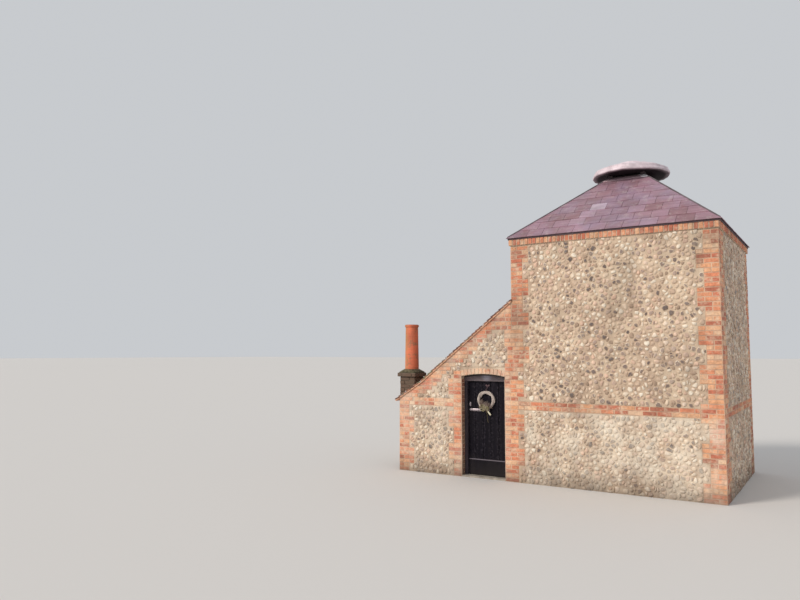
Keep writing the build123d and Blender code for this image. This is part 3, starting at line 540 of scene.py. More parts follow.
def add_bricks(name, corners, plane, seed, tones=(0.0, 1.0), dirt=0.0, limed=0.0):
    """Bricks on a wall: pillows a few millimetres proud, each with its own height, lean and tone."""
    rng = np.random.default_rng(seed)
    count = len(corners)
    columns, rows = BRICK_LINES
    proud = BRICK_PROUD + rng.normal(0, BRICK_LEAN, (count, 1, 1))
    proud = proud + rng.normal(0, BRICK_ROUGH, (count, rows + 2, columns + 2))
    points = laid(corners, plane, proud, BRICK_PROUD + BRICK_SUNK, BRICK_ARRIS, columns, rows)
    tone = tones[0] + (tones[1] - tones[0]) * rng.random(count)
    made = add_mesh(name, points, brick, smooth=False, tone=tone, dirt=dirt, limed=limed)
    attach(made, "building")


front_plane = ((0, FRONT_Y, 0), (1, 0, 0), UPRIGHT)
back_plane = ((0, BACK_Y, 0), (-1, 0, 0), UPRIGHT)
right_plane = ((RIGHT_X, 0, 0), (0, 1, 0), UPRIGHT)
left_plane = ((SIDE_X, 0, 0), (0, -1, 0), UPRIGHT)
low_plane = ((LEFT_X, 0, 0), (0, -1, 0), UPRIGHT)
COURSES = int(WALL_TOP / COURSE)
CORNER_OUT = 0.006


def rake_courses(first, last, right_of, wide=RAKE_WIDE, narrow=RAKE_NARROW):
    """The toothed band under the rake, course by course, as runs for lay_course."""
    runs = []
    for course in range(first, last):
        bottom, top = course * COURSE, (course + 1) * COURSE
        left, left_above = rake_place(bottom), rake_place(top)
        reach = quoin_width(course, wide, narrow)
        right = right_of if bottom > ALL_BRICK_ABOVE else min(left_above + reach, right_of)
        if right - left_above > RUN_LEAST:
            runs.append((course, left, right, left_above))
    return runs


rake_first = int(RAKE_FOOT / COURSE)
rake_last = int(RAKE_TOP / COURSE)
door_head_course = int(arch_high.z / COURSE)


def jamb_width(course):
    """Reach of the toothed brickwork to the left of the doorway."""
    return quoin_width(course, JAMB_WIDE, JAMB_NARROW)


def strip_width(course):
    """Reach past the kiln's corner of the brickwork to the right of the doorway."""
    return quoin_width(course, STRIP_WIDE, STRIP_NARROW)


# Runs are (course, left, right), and where an end leans, also left and right at the course's top.
# The front's are in x, from left to right.
front_runs = []
for course in range(rake_first):
    front_runs.append((course, LEFT_X - CORNER_OUT, LEFT_X + quoin_width(course + HALF_BLOCK)))
front_runs += rake_courses(rake_first, rake_last, SIDE_X)
for course in range(door_head_course):
    front_runs.append((course, DOOR_LEFT - jamb_width(course), DOOR_LEFT))
    front_runs.append((course, DOOR_RIGHT, SIDE_X + strip_width(course)))
for course in range(door_head_course, COURSES):
    tooth = quoin_width(course + QUOIN_BLOCK, TOOTH_WIDE, TOOTH_NARROW)
    start = SIDE_X if course * COURSE > ALL_BRICK_ABOVE else SIDE_X - tooth
    start = max(start, rake_place((course + 1) * COURSE))
    front_runs.append((course, start, SIDE_X + quoin_width(course)))
for course in range(COURSES):
    front_runs.append((course, RIGHT_X - quoin_width(course + QUOIN_BLOCK), RIGHT_X + CORNER_OUT))
for course in BAND_COURSES:
    front_runs.append((course, LEFT_X + quoin_width(course + HALF_BLOCK), DOOR_LEFT - jamb_width(course)))
    front_runs.append((course, SIDE_X + strip_width(course), RIGHT_X - quoin_width(course + QUOIN_BLOCK)))

# Seen from behind, left and right change places, and the rake falls to the right
over_rake = int(LEAN_HEAD / COURSE)
back_runs = []
for course in range(rake_first):
    back_runs.append((course, -LEFT_X - quoin_width(course + HALF_BLOCK), -LEFT_X + CORNER_OUT))
for course, left, right, left_above in rake_courses(rake_first, rake_last, SIDE_X):
    back_runs.append((course, -right, -left, -right, -left_above))
for course in range(COURSES):
    back_runs.append((course, -RIGHT_X - CORNER_OUT, -RIGHT_X + quoin_width(course)))
for course in range(over_rake, COURSES):
    back_runs.append((course, -SIDE_X - quoin_width(course), -SIDE_X + CORNER_OUT))
for course in BAND_COURSES:
    back_runs.append((course, -RIGHT_X + quoin_width(course), -LEFT_X - quoin_width(course + HALF_BLOCK)))


def return_width(course):
    """Reach of a quoin on the side that meets the front or the back wall's end."""
    return quoin_width(course, RETURN_WIDE, RETURN_NARROW)


# The kiln's right side, the part of its left side over the lean-to roof, and the low side wall
stack_low, stack_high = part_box("chimney_stack")
STACK_COURSE_PROUD = 0.04
stack_back_u = STACK_COURSE_PROUD - stack_high.y
right_runs, left_runs, low_runs = [], [], []
for course in range(COURSES):
    right_runs.append((course, FRONT_Y, FRONT_Y + return_width(course)))
    right_runs.append((course, BACK_Y - return_width(course + QUOIN_BLOCK), BACK_Y))
for course in range(over_rake, COURSES):
    left_runs.append((course, -BACK_Y, -BACK_Y + return_width(course)))
    left_runs.append((course, -FRONT_Y - return_width(course), -FRONT_Y))
for course in BAND_COURSES:
    back_quoin = return_width(course + QUOIN_BLOCK)
    right_runs.append((course, FRONT_Y + return_width(course), BACK_Y - back_quoin))
for course in range(rake_first):
    low_runs.append((course, -BACK_Y, -BACK_Y + return_width(course)))
    low_runs.append((course, -INNER_Y, -FRONT_Y))
low_runs.append((BAND_COURSES[0], -BACK_Y + return_width(BAND_COURSES[0]), stack_back_u))

# The doorway's reveals, before and behind the frame
frame_low, frame_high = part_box("frame_post_left")
reveal_runs, far_reveal_runs = [], []
for course in range(int(arch_low.z / COURSE)):
    reveal_runs.append((course, FRONT_Y - CORNER_OUT, frame_low.y))
    reveal_runs.append((course, frame_high.y, INNER_Y))
    far_reveal_runs.append((course, -frame_low.y, -FRONT_Y + CORNER_OUT))
    far_reveal_runs.append((course, -INNER_Y, -frame_high.y))

brick_walls = {
    "front": (front_runs, front_plane),
    "back": (back_runs, back_plane),
    "right": (right_runs, right_plane),
    "left": (left_runs, left_plane),
    "low": (low_runs, low_plane),
    "reveal": (reveal_runs, ((DOOR_LEFT, 0, 0), (0, 1, 0), UPRIGHT)),
    "far_reveal": (far_reveal_runs, ((DOOR_RIGHT, 0, 0), (0, -1, 0), UPRIGHT)),
}
for seed, (side, (runs, plane)) in enumerate(brick_walls.items()):
    corners = [piece for run in runs for piece in lay_course(*run)]
    # The reveals' bricks, deep in the doorway, are darkened part way: grime and painted shade.
    dirt = REVEAL_DIRT_AND_SHADE if side.endswith("reveal") else 0.0
    add_bricks(f"{side}_bricks", corners, plane, 10 + seed, dirt=dirt)
    add_joints(f"{side}_joints", [course_outline(*run) for run in runs], plane)


# Flints
# Field flints of about 80 mm set in the mortar between the brickwork. Most show their chalky
# rind; about one in five is broken and shows a flat dark face with a pale rim. The panels stand a
# little out of the wall, but for a strip along the rake that lies level with it.
FLINT_SPACING = 0.082
FLINT_ROW_RISE = 0.866
FLINT_SCATTER = 0.52
FLINT_CLEAR = 0.2
FLINT_JOINT = 0.006
FLINT_SIDES = 8
FLINT_PROUD = 0.013
FLINT_SUNK = 0.012
FLINT_SIZES = (0.55, 1.45)
FLINT_HEIGHTS = (0.6, 1.25)
FLINT_EDGE = (0.88, 1.02)
FLINT_LEAN = 0.07
FLINT_MOST = 0.85
FLINT_LEAST = 0.008
FLINT_OVAL = 0.32
FLINT_ROUGH = 0.001
NEAR_FLINTS = 12
NEAR_BOXES = 4
FAR_AWAY = 9.0
WHOLE_RINGS = ((1.0, 0.88, 0.50), (0.0, 0.52, 1.0))
BROKEN_RINGS = ((1.0, 0.93, 0.62), (0.0, 0.66, 0.74))
BROKEN_SHARE = 0.22
FLINT_TONES = [
    (0.00, (0.40, 0.28, 0.20, 1)),
    (0.15, (0.62, 0.45, 0.33, 1)),
    (0.40, (0.82, 0.65, 0.49, 1)),
    (0.62, (0.90, 0.80, 0.66, 1)),
    (0.85, (0.80, 0.54, 0.40, 1)),
    (1.00, (0.52, 0.41, 0.34, 1)),
]
FLINT_HEART = [(0.0, (0.13, 0.10, 0.092, 1)), (1.0, (0.46, 0.33, 0.26, 1))]

flint, tree, shader, where = blank_finish("field_flint", 0.8)
tone = mark(tree, "tone")
rind = ramp(tree, tone, FLINT_TONES)
mottle = spread(tree, noise(tree, where, 34.0, 5.0), 0.3, 0.7, 0.74, 1.14)
rind = toned(tree, rind, mottle)
heart = ramp(tree, tone, FLINT_HEART)
inside = maths(tree, "ADD", mark(tree, "share"), noise(tree, where, 40.0))
inside = spread(tree, inside, 1.22, 1.34, 1.0, 0.0)
inside = maths(tree, "MULTIPLY", inside, mark(tree, "broken"))
colour = mix_colours(tree, inside, rind, heart)
colour = limewashed(tree, colour, where, 0.9)
coloured(tree, shader, weathered(tree, colour, where, 0.35, 0.5))
tree.links.new(spread(tree, inside, 0.0, 1.0, 0.82, 0.32), shader.inputs["Roughness"])
pitted(tree, shader, where, 60.0, 0.5, 0.004)


def run_boxes(runs):
    """Runs of courses as boxes: left, right, bottom and top."""
    return np.array([
        (left, right, course * COURSE, (course + 1) * COURSE) for course, left, right, *_ in runs
    ])


def ring_angles(sides):
    """The angles of a ring's points, evenly round from zero."""
    return np.arange(sides) * 2 * np.pi / sides


def flint_cells(area, borders, boxes, rng):
    """Scatters flints over a wall and shapes each to the room between its neighbours.

    Centres lie on a shaken triangular grid, and each has a size. In a direction, a flint reaches
    to the line that divides the way to a neighbour by their sizes: that share of the squared
    distance over the distance along the direction, least over all neighbours. An edge of the area
    or a box of bricks counts as a neighbour mirrored in it. The reach is drawn in to an oval.
    borders are (point, inward normal) and boxes (left, right, bottom, top). Returns each flint's
    centre, its directions and its reach in each of them.
    """
    left, right, bottom, top = area
    rise = FLINT_SPACING * FLINT_ROW_RISE
    across, up = np.arange(left, right, FLINT_SPACING), np.arange(bottom, top, rise)
    centres = np.stack(np.meshgrid(across, up), -1)
    centres[1::2, :, 0] += FLINT_SPACING / 2
    centres = centres.reshape(-1, 2)
    centres = centres + rng.normal(0, FLINT_SCATTER * FLINT_SPACING / 2, centres.shape)

    inward = np.array([normal for _, normal in borders], float)
    inward /= np.linalg.norm(inward, axis=1, keepdims=True)
    points = np.array([point for point, _ in borders], float)
    depth = ((centres[:, None] - points) * inward).sum(-1)
    boxes = np.asarray(boxes, float)
    nearest = np.clip(centres[:, None], boxes[:, (0, 2)], boxes[:, (1, 3)])
    aside = nearest - centres[:, None]
    gap = np.linalg.norm(aside, axis=-1)
    keep = np.minimum(gap.min(1), depth.min(1)) > FLINT_SPACING * FLINT_CLEAR
    centres, depth, aside, gap = centres[keep], depth[keep], aside[keep], gap[keep]

    near_boxes = np.argpartition(gap, NEAR_BOXES - 1, axis=1)[:, :NEAR_BOXES, None]
    beside = 2 * np.take_along_axis(aside, near_boxes, axis=1)
    mirrored = -2 * depth[..., None] * inward
    offsets = centres[None] - centres[:, None]
    distance = np.linalg.norm(offsets, axis=-1) + np.eye(len(centres)) * FAR_AWAY
    close = np.argpartition(distance, NEAR_FLINTS, axis=1)[:, :NEAR_FLINTS]
    around = np.take_along_axis(offsets, close[..., None], axis=1)
    size = rng.uniform(*FLINT_SIZES, (len(centres), 1))
    parts = size / (size + size[close, 0])
    others = np.concatenate([around, beside, mirrored], axis=1)
    parts = np.pad(parts, ((0, 0), (0, others.shape[1] - NEAR_FLINTS)), constant_values=0.5)

    turn = rng.random((len(centres), 1)) * 2 * np.pi
    angles = turn + ring_angles(FLINT_SIDES)
    rays = np.stack([np.cos(angles), np.sin(angles)], -1)
    along = np.einsum("nki,nji->nkj", rays, others)
    squared_far = ((others**2).sum(-1) * parts)[:, None]
    reach = np.where(along > 1e-4, squared_far / np.maximum(along, 1e-4), FAR_AWAY).min(-1)
    reach = np.minimum(reach, FLINT_SPACING * FLINT_MOST)
    oval = 1 - rng.uniform(0, FLINT_OVAL, (len(centres), 1)) * np.sin(angles - 2 * turn) ** 2
    reach = (reach - FLINT_JOINT / 2) * oval * rng.uniform(*FLINT_EDGE, reach.shape)
    return centres, rays, np.maximum(reach, FLINT_LEAST)


def add_flints(name, area, borders, runs, level_runs, plane, seed):
    """Flints on a wall: three rings round each centre, from the wall out to the crown.

    A whole flint's rings rise like a dome; a broken one's rise at once and stay flat and tilted.
    Within level_runs the wall has no panel, and the rings start that much lower.
    """
    rng = np.random.default_rng(seed)
    centres, rays, reach = flint_cells(area, borders, run_boxes(runs), rng)
    level = run_boxes(level_runs)
    inside = (centres[:, None] > level[:, (0, 2)]) & (centres[:, None] < level[:, (1, 3)])
    base = np.where(inside.all(-1).any(1), 0.0, PANEL_PROUD)[:, None, None]
    count = len(centres)
    broken = (rng.random(count) < BROKEN_SHARE).astype(float)[:, None]
    shares, rises = (
        np.array(whole) * (1 - broken) + np.array(split) * broken
        for whole, split in zip(WHOLE_RINGS, BROKEN_RINGS)
    )
    size = FLINT_PROUD * rng.uniform(*FLINT_HEIGHTS, (count, 1))
    flat = centres[:, None, None] + shares[..., None, None] * (reach[..., None] * rays)[:, None]
    lean = rng.normal(0, FLINT_LEAN, (count, 1, 1, 2))
    high = (size * rises)[:, :, None] + (lean * (flat - centres[:, None, None])).sum(-1)
    high = base + np.maximum(high + rng.normal(0, FLINT_ROUGH, high.shape), 1.5 * FLINT_ROUGH)
    high[:, 0] = base[:, 0] - FLINT_SUNK
    origin, across, up = (np.asarray(v, float) for v in plane)
    out = np.cross(across, up)
    points = origin + flat[..., :1] * across + flat[..., 1:] * up + high[..., None] * out
    made = add_mesh(
        name, points, flint, wrap=True,
        tone=rng.random(count), broken=broken[:, 0], share=shares[..., None] * np.ones(FLINT_SIDES),
    )
    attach(made, "building")


def wall_edges(left, right, bottom, top):
    """The four straight edges of a wall, each with its normal towards the inside."""
    return [((left, 0), (1, 0)), ((right, 0), (-1, 0)), ((0, bottom), (0, 1)), ((0, top), (0, -1))]


rake_normals = [
    (RAKE_TOP - RAKE_KINK_Z, RAKE_KINK_X - SIDE_X),
    (RAKE_KINK_Z - RAKE_FOOT, LEFT_X - RAKE_KINK_X),
]
gable_edges = wall_edges(LEFT_X, SIDE_X, 0, RAKE_TOP)
gable_edges += [((RAKE_KINK_X, RAKE_KINK_Z), normal) for normal in rake_normals]
back_edges = wall_edges(-SIDE_X, -LEFT_X, 0, RAKE_TOP)
back_edges += [((-RAKE_KINK_X, RAKE_KINK_Z), (-x, z)) for x, z in rake_normals]
doorway = [(course, DOOR_LEFT, DOOR_RIGHT) for course in range(door_head_course + 1)]
front_level = rake_courses(rake_first, rake_last, SIDE_X, STEP_WIDE, STEP_NARROW)
back_level = [(course, -right, -left) for course, left, right, _ in front_level]
level_runs = {"gable": front_level, "back_gable": back_level}
side_foot = (over_rake + 1) * COURSE
band_foot = BAND_COURSES[0] * COURSE
flint_walls = {
    "gable": ((LEFT_X, SIDE_X, 0, RAKE_TOP), gable_edges, front_runs + doorway, front_plane),
    "kiln_front": ((SIDE_X, RIGHT_X, 0, WALL_TOP), None, front_runs, front_plane),
    "kiln_right": ((FRONT_Y, BACK_Y, 0, WALL_TOP), None, right_runs, right_plane),
    "kiln_back": ((-RIGHT_X, -SIDE_X, 0, WALL_TOP), None, back_runs, back_plane),
    "back_gable": ((-SIDE_X, -LEFT_X, 0, RAKE_TOP), back_edges, back_runs, back_plane),
    "kiln_left": ((-BACK_Y, -FRONT_Y, side_foot, WALL_TOP), None, left_runs, left_plane),
    "low_wall": ((-BACK_Y, stack_back_u, 0, band_foot), None, low_runs, low_plane),
}
for seed, (wall, (area, borders, runs, plane)) in enumerate(flint_walls.items()):
    borders = borders or wall_edges(*area)
    add_flints(f"{wall}_flints", area, borders, runs, level_runs.get(wall, runs), plane, 31 + seed)


# Eaves course
# One course of bricks laid on edge along each wall's top, a little proud, under the slates.
EDGE_MODULE = 0.075
EDGE_FOOT = 0.004
EDGE_TONES = (0.1, 0.95)
kiln_x = (SIDE_X + RIGHT_X) / 2
course_half = (course_high.x - course_low.x) / 2


def side_plane(turn, distance, height):
    """Upright plane of one kiln side: turned about the kiln's axis, at a distance from it."""
    across = np.array([math.cos(turn), math.sin(turn), 0])
    outward = np.array([math.sin(turn), -math.cos(turn), 0])
    return (np.array([kiln_x, 0, height]) + distance * outward, across, UPRIGHT)


def squared(left, right, bottom, top):
    """Four corners of an upright rectangle."""
    return [(left, bottom), (right, bottom), (right, top), (left, top)]


SIDES = {"front": 0.0, "right": math.pi / 2, "back": math.pi, "left": -math.pi / 2}
edge_count = round(2 * course_half / EDGE_MODULE)
edge_joints = np.linspace(-course_half, course_half, edge_count + 1)
course_rise = course_high.z - course_low.z
edge_corners = [
    squared(a + JOINT / 2, b - JOINT / 2, EDGE_FOOT, course_rise)
    for a, b in zip(edge_joints[:-1], edge_joints[1:])
]
for seed, (side, turn) in enumerate(SIDES.items()):
    plane = side_plane(turn, course_half, course_low.z)
    add_bricks(f"eaves_bricks_{side}", edge_corners, plane, 50 + seed, EDGE_TONES)


# Slates
# Purple-grey slates in eight courses on each slope, half-bonded, with cut slates mitred at the
# hips. A few newer, paler ones patch the front.
SLATE_WIDTH = 0.28
SLATE_COURSES = 8
SLATE_THICK = 0.007
SLATE_LAP = 0.05
SLATE_GAP = 0.003
SLATE_DROP = 0.03
SLATE_SLIP = 0.0025
SLATE_LIFT = 0.0015
SLATE_RISES = (1.0, 1.0, 0.65, 0.25, -0.2, -0.2)
SLATE_LEAN = 0.0007
SLATE_ROUGH = 0.0005
SLATE_ARRIS = 0.0015
HIP_CLEAR = 0.03
ROOF_EDGE = 0.045
SLATE_TONE_CURVE = (2.4, 2.8)
SLATE_TONE_MOST = 0.92
NEW_SLATES = {"course": 3, "from": -0.50, "to": -0.10, "tone": 0.95}
SLATE_TONES = [
    (0.00, (0.22, 0.112, 0.130, 1)),
    (0.35, (0.31, 0.164, 0.196, 1)),
    (0.70, (0.355, 0.212, 0.272, 1)),
    (0.90, (0.42, 0.285, 0.360, 1)),
    (1.00, (0.62, 0.52, 0.58, 1)),
]
SLATE_BLUE = (0.31, 0.235, 0.335, 1)
SLATE_SHADED = (0.10, 0.062, 0.070, 1)
PALE_LICHEN = (0.62, 0.58, 0.55, 1)

roof_low, roof_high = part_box("roof_slope_front")
curb_low, curb_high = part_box("vent_curb")
eave_half = (roof_high.x - roof_low.x) / 2
curb_half = (curb_high.x - curb_low.x) / 2
eave_z = roof_low.z + ROOF_EDGE
roof_top_z = roof_high.z
roof_pitch = math.atan2(roof_top_z - eave_z, eave_half - curb_half)
slope_length = math.hypot(roof_top_z - eave_z, eave_half - curb_half)
slate_gauge = (slope_length + SLATE_DROP) / SLATE_COURSES

# Lichen: pale crusts in scattered spots
lichen, l_in, l_out = new_effect(
    "lichen",
    {"Color": "Color", "Lichen": "Color", "Where": "Vector", "Scale": "Float", "Amount": "Float"},
    {"Color": "Color", "Mask": "Float"},
)
spots = noise(lichen, l_in["Where"], l_in["Scale"], 6.0, 0.7)
patches = noise(lichen, l_in["Where"], maths(lichen, "MULTIPLY", l_in["Scale"], 0.22), 2.0)
crust = spread(lichen, maths(lichen, "MULTIPLY", spots, patches), 0.30, 0.34)
crust = maths(lichen, "MULTIPLY", crust, l_in["Amount"])
lichen.links.new(mix_colours(lichen, crust, l_in["Color"], l_in["Lichen"]), l_out["Color"])
lichen.links.new(crust, l_out["Mask"])


def crusted(tree, colour, crust_colour, where, scale, amount):
    """A colour under crusts of lichen; returns the effect's Color and Mask."""
    crusts = {"Color": colour, "Lichen": crust_colour, "Where": where, "Scale": scale, "Amount": amount}
    return use_effect(tree, lichen, crusts)


slate, tree, shader, where = blank_finish("purple_slate", 0.5)
colour = ramp(tree, mark(tree, "tone"), SLATE_TONES)
bluer = spread(tree, noise(tree, where, 1.7, 5.0, 0.65), 0.42, 0.66, 0.0, 0.6)
colour = mix_colours(tree, bluer, colour, SLATE_BLUE)
bands = noise(tree, stretched(tree, where, (3.0, 3.0, 26.0)), 1.0, 5.0)
colour = toned(tree, colour, spread(tree, bands, 0.3, 0.7, 0.80, 1.18))
crusts = crusted(tree, colour, PALE_LICHEN, where, 42.0, 0.22)
coloured(tree, shader, weathered(tree, crusts["Color"], where, 0.25))
tree.links.new(spread(tree, crusts["Mask"], 0.0, 1.0, 0.46, 0.85), shader.inputs["Roughness"])
pitted(tree, shader, where, 30.0, 0.45, 0.004)
# The roof slopes under the slates show only in the joints and along the eave, coloured a flat near-black
# purple: painted shade.
shaded_slate, tree, shader, where = blank_finish("shaded_slate", 0.7)
shader.inputs["Base Color"].default_value = SLATE_SHADED
roughen(tree, shader, noise(tree, where, 30.0), 0.4, 0.003)


def slope_plane(turn):
    """Plane of one roof slope: across along the eave, up along the slope."""
    across = np.array([math.cos(turn), math.sin(turn), 0])
    inward = np.array([-math.sin(turn), math.cos(turn), 0])
    up = inward * math.cos(roof_pitch) + np.array([0, 0, math.sin(roof_pitch)])
    return (np.array([kiln_x, 0, eave_z]) - inward * eave_half, across, up)


def hip_reach(t):
    """Half the slope's width at a distance up it."""
    return eave_half - t * math.cos(roof_pitch)


def slate_corners(course, rng):
    """Corners of one course's slates, half a slate on in every other course.

    The end ones are wide slates cut along the hips, so no joint comes where a hip cuts a head.
    """
    tail = -SLATE_DROP + course * slate_gauge
    head = min(tail + slate_gauge + SLATE_LAP, slope_length)
    reach = hip_reach(tail)
    shift = 0.5 * SLATE_WIDTH * (course % 2)
    most = math.ceil(eave_half / SLATE_WIDTH)
    joints = np.arange(-most, most + 1) * SLATE_WIDTH + shift
    joints = joints[np.abs(joints) < hip_reach(head) - HIP_CLEAR]
    lefts, rights = [-reach, *joints], [*joints, reach]
    made = []
    for left, right in zip(lefts, rights):
        a, b = left + SLATE_GAP / 2, right - SLATE_GAP / 2
        c, d = min(b, hip_reach(head)), max(a, -hip_reach(head))
        drop = rng.normal(0, SLATE_SLIP, 2)
        made.append([(a, tail + drop[0]), (b, tail + drop[1]), (c, head), (d, head)])
    return made


def add_slates(name, turn, seed):
    """The slates of one slope: slabs that rise towards their tails by one thickness a course."""
    rng = np.random.default_rng(seed)
    corners, tones = [], []
    for course in range(SLATE_COURSES):
        row = slate_corners(course, rng)
        corners += row
        tone = rng.beta(*SLATE_TONE_CURVE, len(row)) * SLATE_TONE_MOST
        middle = np.array(row)[..., 0].mean(1)
        patched = (middle > NEW_SLATES["from"]) & (middle < NEW_SLATES["to"])
        if turn == 0 and course == NEW_SLATES["course"]:
            tone = np.where(patched, NEW_SLATES["tone"], tone)
        tones += list(tone)
    corners = np.array(corners)
    count = len(corners)
    rise = SLATE_LIFT + SLATE_THICK * np.array(SLATE_RISES)
    lines = len(SLATE_RISES)
    high = rise[None, :, None] + rng.normal(0, SLATE_LEAN, (count, 1, 1))
    high = high + rng.normal(0, SLATE_ROUGH, (count, lines, lines))
    points = laid(corners, slope_plane(turn), high, SLATE_THICK, SLATE_ARRIS, lines - 2, lines - 2)
    made = add_mesh(name, points, slate, smooth=False, tone=np.array(tones))
    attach(made, "building")


for seed, (side, turn) in enumerate(SIDES.items()):
    add_slates(f"slates_{side}", turn, 60 + seed)
    dress(shaded_slate, f"roof_slope_{side}")


# Timbers
# Old sawn oak and softwood: rafters, plates and lintel gone brown-grey, with the grain along each
# piece, and a tarred vent curb.
TIMBER_DARK = (0.10, 0.065, 0.045, 1)
TIMBER_PALE = (0.27, 0.19, 0.13, 1)
TARRED_DARK = (0.035, 0.025, 0.028, 1)
TARRED_PALE = (0.10, 0.07, 0.075, 1)
ALONG_X = (4.0, 34.0, 34.0)
ALONG_Y = (34.0, 4.0, 34.0)

grain, g_in, g_out = new_effect("grain", {"Where": "Vector", "Scale": "Float"}, {"Mask": "Float"})
rings = noise(grain, g_in["Where"], g_in["Scale"], 6.0, 0.6)
fibres = noise(grain, g_in["Where"], maths(grain, "MULTIPLY", g_in["Scale"], 4.0), 3.0)
grain.links.new(
    maths(grain, "ADD", maths(grain, "MULTIPLY", rings, 0.65), maths(grain, "MULTIPLY", fibres, 0.35)),
    g_out["Mask"],
)


def grain_lines(tree, where, along):
    """Grain drawn out along one axis, by factors for the three axes."""
    return use_effect(tree, grain, {"Where": stretched(tree, where, along), "Scale": 1.0})["Mask"]


def wood_finish(name, along, dark, pale, roughness):
    """Bare or painted wood: grain that runs along one axis colours it and lifts its surface."""
    material, tree, shader, where = blank_finish(name, roughness)
    lines = grain_lines(tree, where, along)
    colour = mix_colours(tree, spread(tree, lines, 0.36, 0.64), dark, pale)
    coloured(tree, shader, colour)
    roughen(tree, shader, lines, 0.5, 0.004)
    return material


sawn_timber = wood_finish("sawn_timber", ALONG_X, TIMBER_DARK, TIMBER_PALE, 0.85)
plate_timber = wood_finish("plate_timber", ALONG_Y, TIMBER_DARK, TIMBER_PALE, 0.85)
tarred_timber = wood_finish("tarred_timber", ALONG_X, TARRED_DARK, TARRED_PALE, 0.9)
dress(sawn_timber, "rafters")
dress(plate_timber, "low_wall_plate", "high_wall_plate", "inner_lintel")
dress(tarred_timber, "vent_curb")


# Lead cap
# Boards covered with sheet lead, dressed by hand over a rolled foot, a steep side and a low dome,
# with low welted seams and a raised disc in the middle, gone pale lilac-grey. It stands on four
# short posts over the vent. Its underside and the foot of its rim carry painted shade, near black.
CAP_RIM = 0.050
CAP_RIM_ROUND = 0.018
CAP_SIDE_HEIGHT = 0.052
CAP_SIDE_LEAN = 0.014
CAP_SIDES = 144
CAP_SEAMS = 8
SEAMS_FROM_LINE = 5
SEAM_HEIGHT = 0.007
SEAM_HALF = 0.012
DISC_EDGE = 0.014
DISC_CROWN = 0.019
DISC_SUNK = 0.008
DISC_FLARE = 0.010
FLARE_HEIGHTS = (0.013, 0.021)
CLOSE_RADIUS = 0.01
UNDER_RADII = (CLOSE_RADIUS, 0.35, 0.60)
DOME_TOP = 0.95
BEATEN_FROM = 0.3
CAP_SAG = ((0.004, 3, 1.1), (0.003, 7, 0), (0.002, 13, 2))
DISC_SAG = (0.002, 5, 0.4)
SAG_FROM = 0.45
SAG_REACH = 0.25
CROWN_SHARES = (0.75, 0.4, 0.04)
CROWN_POWER = 1.3
UNDER_SHADE = 0.97
RIM_SHADE = (0.55, 0.35, 0.15)
LEAD_PALE = (0.85, 0.72, 0.77, 1)
LEAD_DARK = (0.57, 0.465, 0.50, 1)
LEAD_LILAC = (0.36, 0.24, 0.27, 1)
LEAD_FRESH = (0.86, 0.84, 0.86, 1)
LEAD_STAIN = (0.17, 0.14, 0.15, 1)
LEAD_NEAR_BLACK = (0.010, 0.005, 0.008, 1)

lead, tree, shader, where = blank_finish("sheet_lead", 0.62)
shader.inputs["Metallic"].default_value = 0.15
cloud = noise(tree, where, 5.0, 6.0, 0.65)
colour = mix_colours(tree, spread(tree, cloud, 0.34, 0.6), LEAD_DARK, LEAD_PALE)
runs = noise(tree, stretched(tree, where, (12.0, 12.0, 2.0)), 1.0, 4.0)
colour = mix_colours(tree, spread(tree, runs, 0.52, 0.72, 0.0, 0.5), colour, LEAD_PALE)
colour = weathered(tree, colour, where, 0.5, grime=LEAD_STAIN)
colour = mix_colours(tree, mark(tree, "lilac"), colour, LEAD_LILAC)
# The dark mark blends in near black and lowers the specular: painted shade on the cap's underside, and
# the thin dark line of the hip soakers.
colour = mix_colours(tree, mark(tree, "dark"), colour, LEAD_NEAR_BLACK)
sheen = spread(tree, mark(tree, "dark"), 0.0, 1.0, 0.5, 0.02)
tree.links.new(sheen, shader.inputs["Specular IOR Level"])
coloured(tree, shader, mix_colours(tree, mark(tree, "fresh"), colour, LEAD_FRESH))
dents = noise(tree, where, 14.0, 3.0)
roughen(tree, shader, dents, 0.5, 0.01)


def turned(profile, centre, sides):
    """A profile of (radius, height) carried round an upright axis, one column for each side.

    The profile may also differ from side to side: rows x sides x 2. Returns the points and the
    sides' angles.
    """
    profile = np.asarray(profile, float)
    if profile.ndim == 2:
        profile = profile[:, None]
    angle = ring_angles(sides)
    x = centre[0] + profile[..., 0] * np.cos(angle)
    y = centre[1] + profile[..., 0] * np.sin(angle)
    z = np.broadcast_to(profile[..., 1], x.shape)
    return np.stack([x, y, z], -1)[None], angle


def waves(angle, *terms):
    """A sum of sine waves round an axis, each given as its height, number and start."""
    return sum(height * np.sin(count * angle + start) for height, count, start in terms)


cap_low, cap_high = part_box("lead_cap")
disc_low, disc_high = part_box("cap_disc")
cap_radius = (cap_high.x - cap_low.x) / 2
disc_radius = (disc_high.x - disc_low.x) / 2
turn = np.linspace(-math.pi / 2, math.pi / 2, 9)
rim_inner = cap_radius - CAP_RIM_ROUND
rim_radii = rim_inner + CAP_RIM_ROUND * np.cos(turn)
rim = np.stack([rim_radii, cap_low.z + CAP_RIM / 2 * (1 + np.sin(turn))], 1)
shoulder = np.array([rim_inner - CAP_SIDE_LEAN, cap_low.z + CAP_RIM + CAP_SIDE_HEIGHT])
side_share = np.linspace(0, 1, 5)[1:, None]
side = rim[-1] + (shoulder - rim[-1]) * side_share
share = np.linspace(0, 1, 14)[1:]
dome_radii = shoulder[0] + (disc_radius * DOME_TOP - shoulder[0]) * share
dome = np.stack([dome_radii, shoulder[1] + (cap_high.z - shoulder[1]) * (2 * share - share**2)], 1)
under = np.array([[radius, cap_low.z] for radius in UNDER_RADII])
profile = np.vstack([under, rim, side, dome, [[CLOSE_RADIUS, cap_high.z]]])
points, angle = turned(profile, (kiln_x, 0), CAP_SIDES)
radius = profile[:, :1]
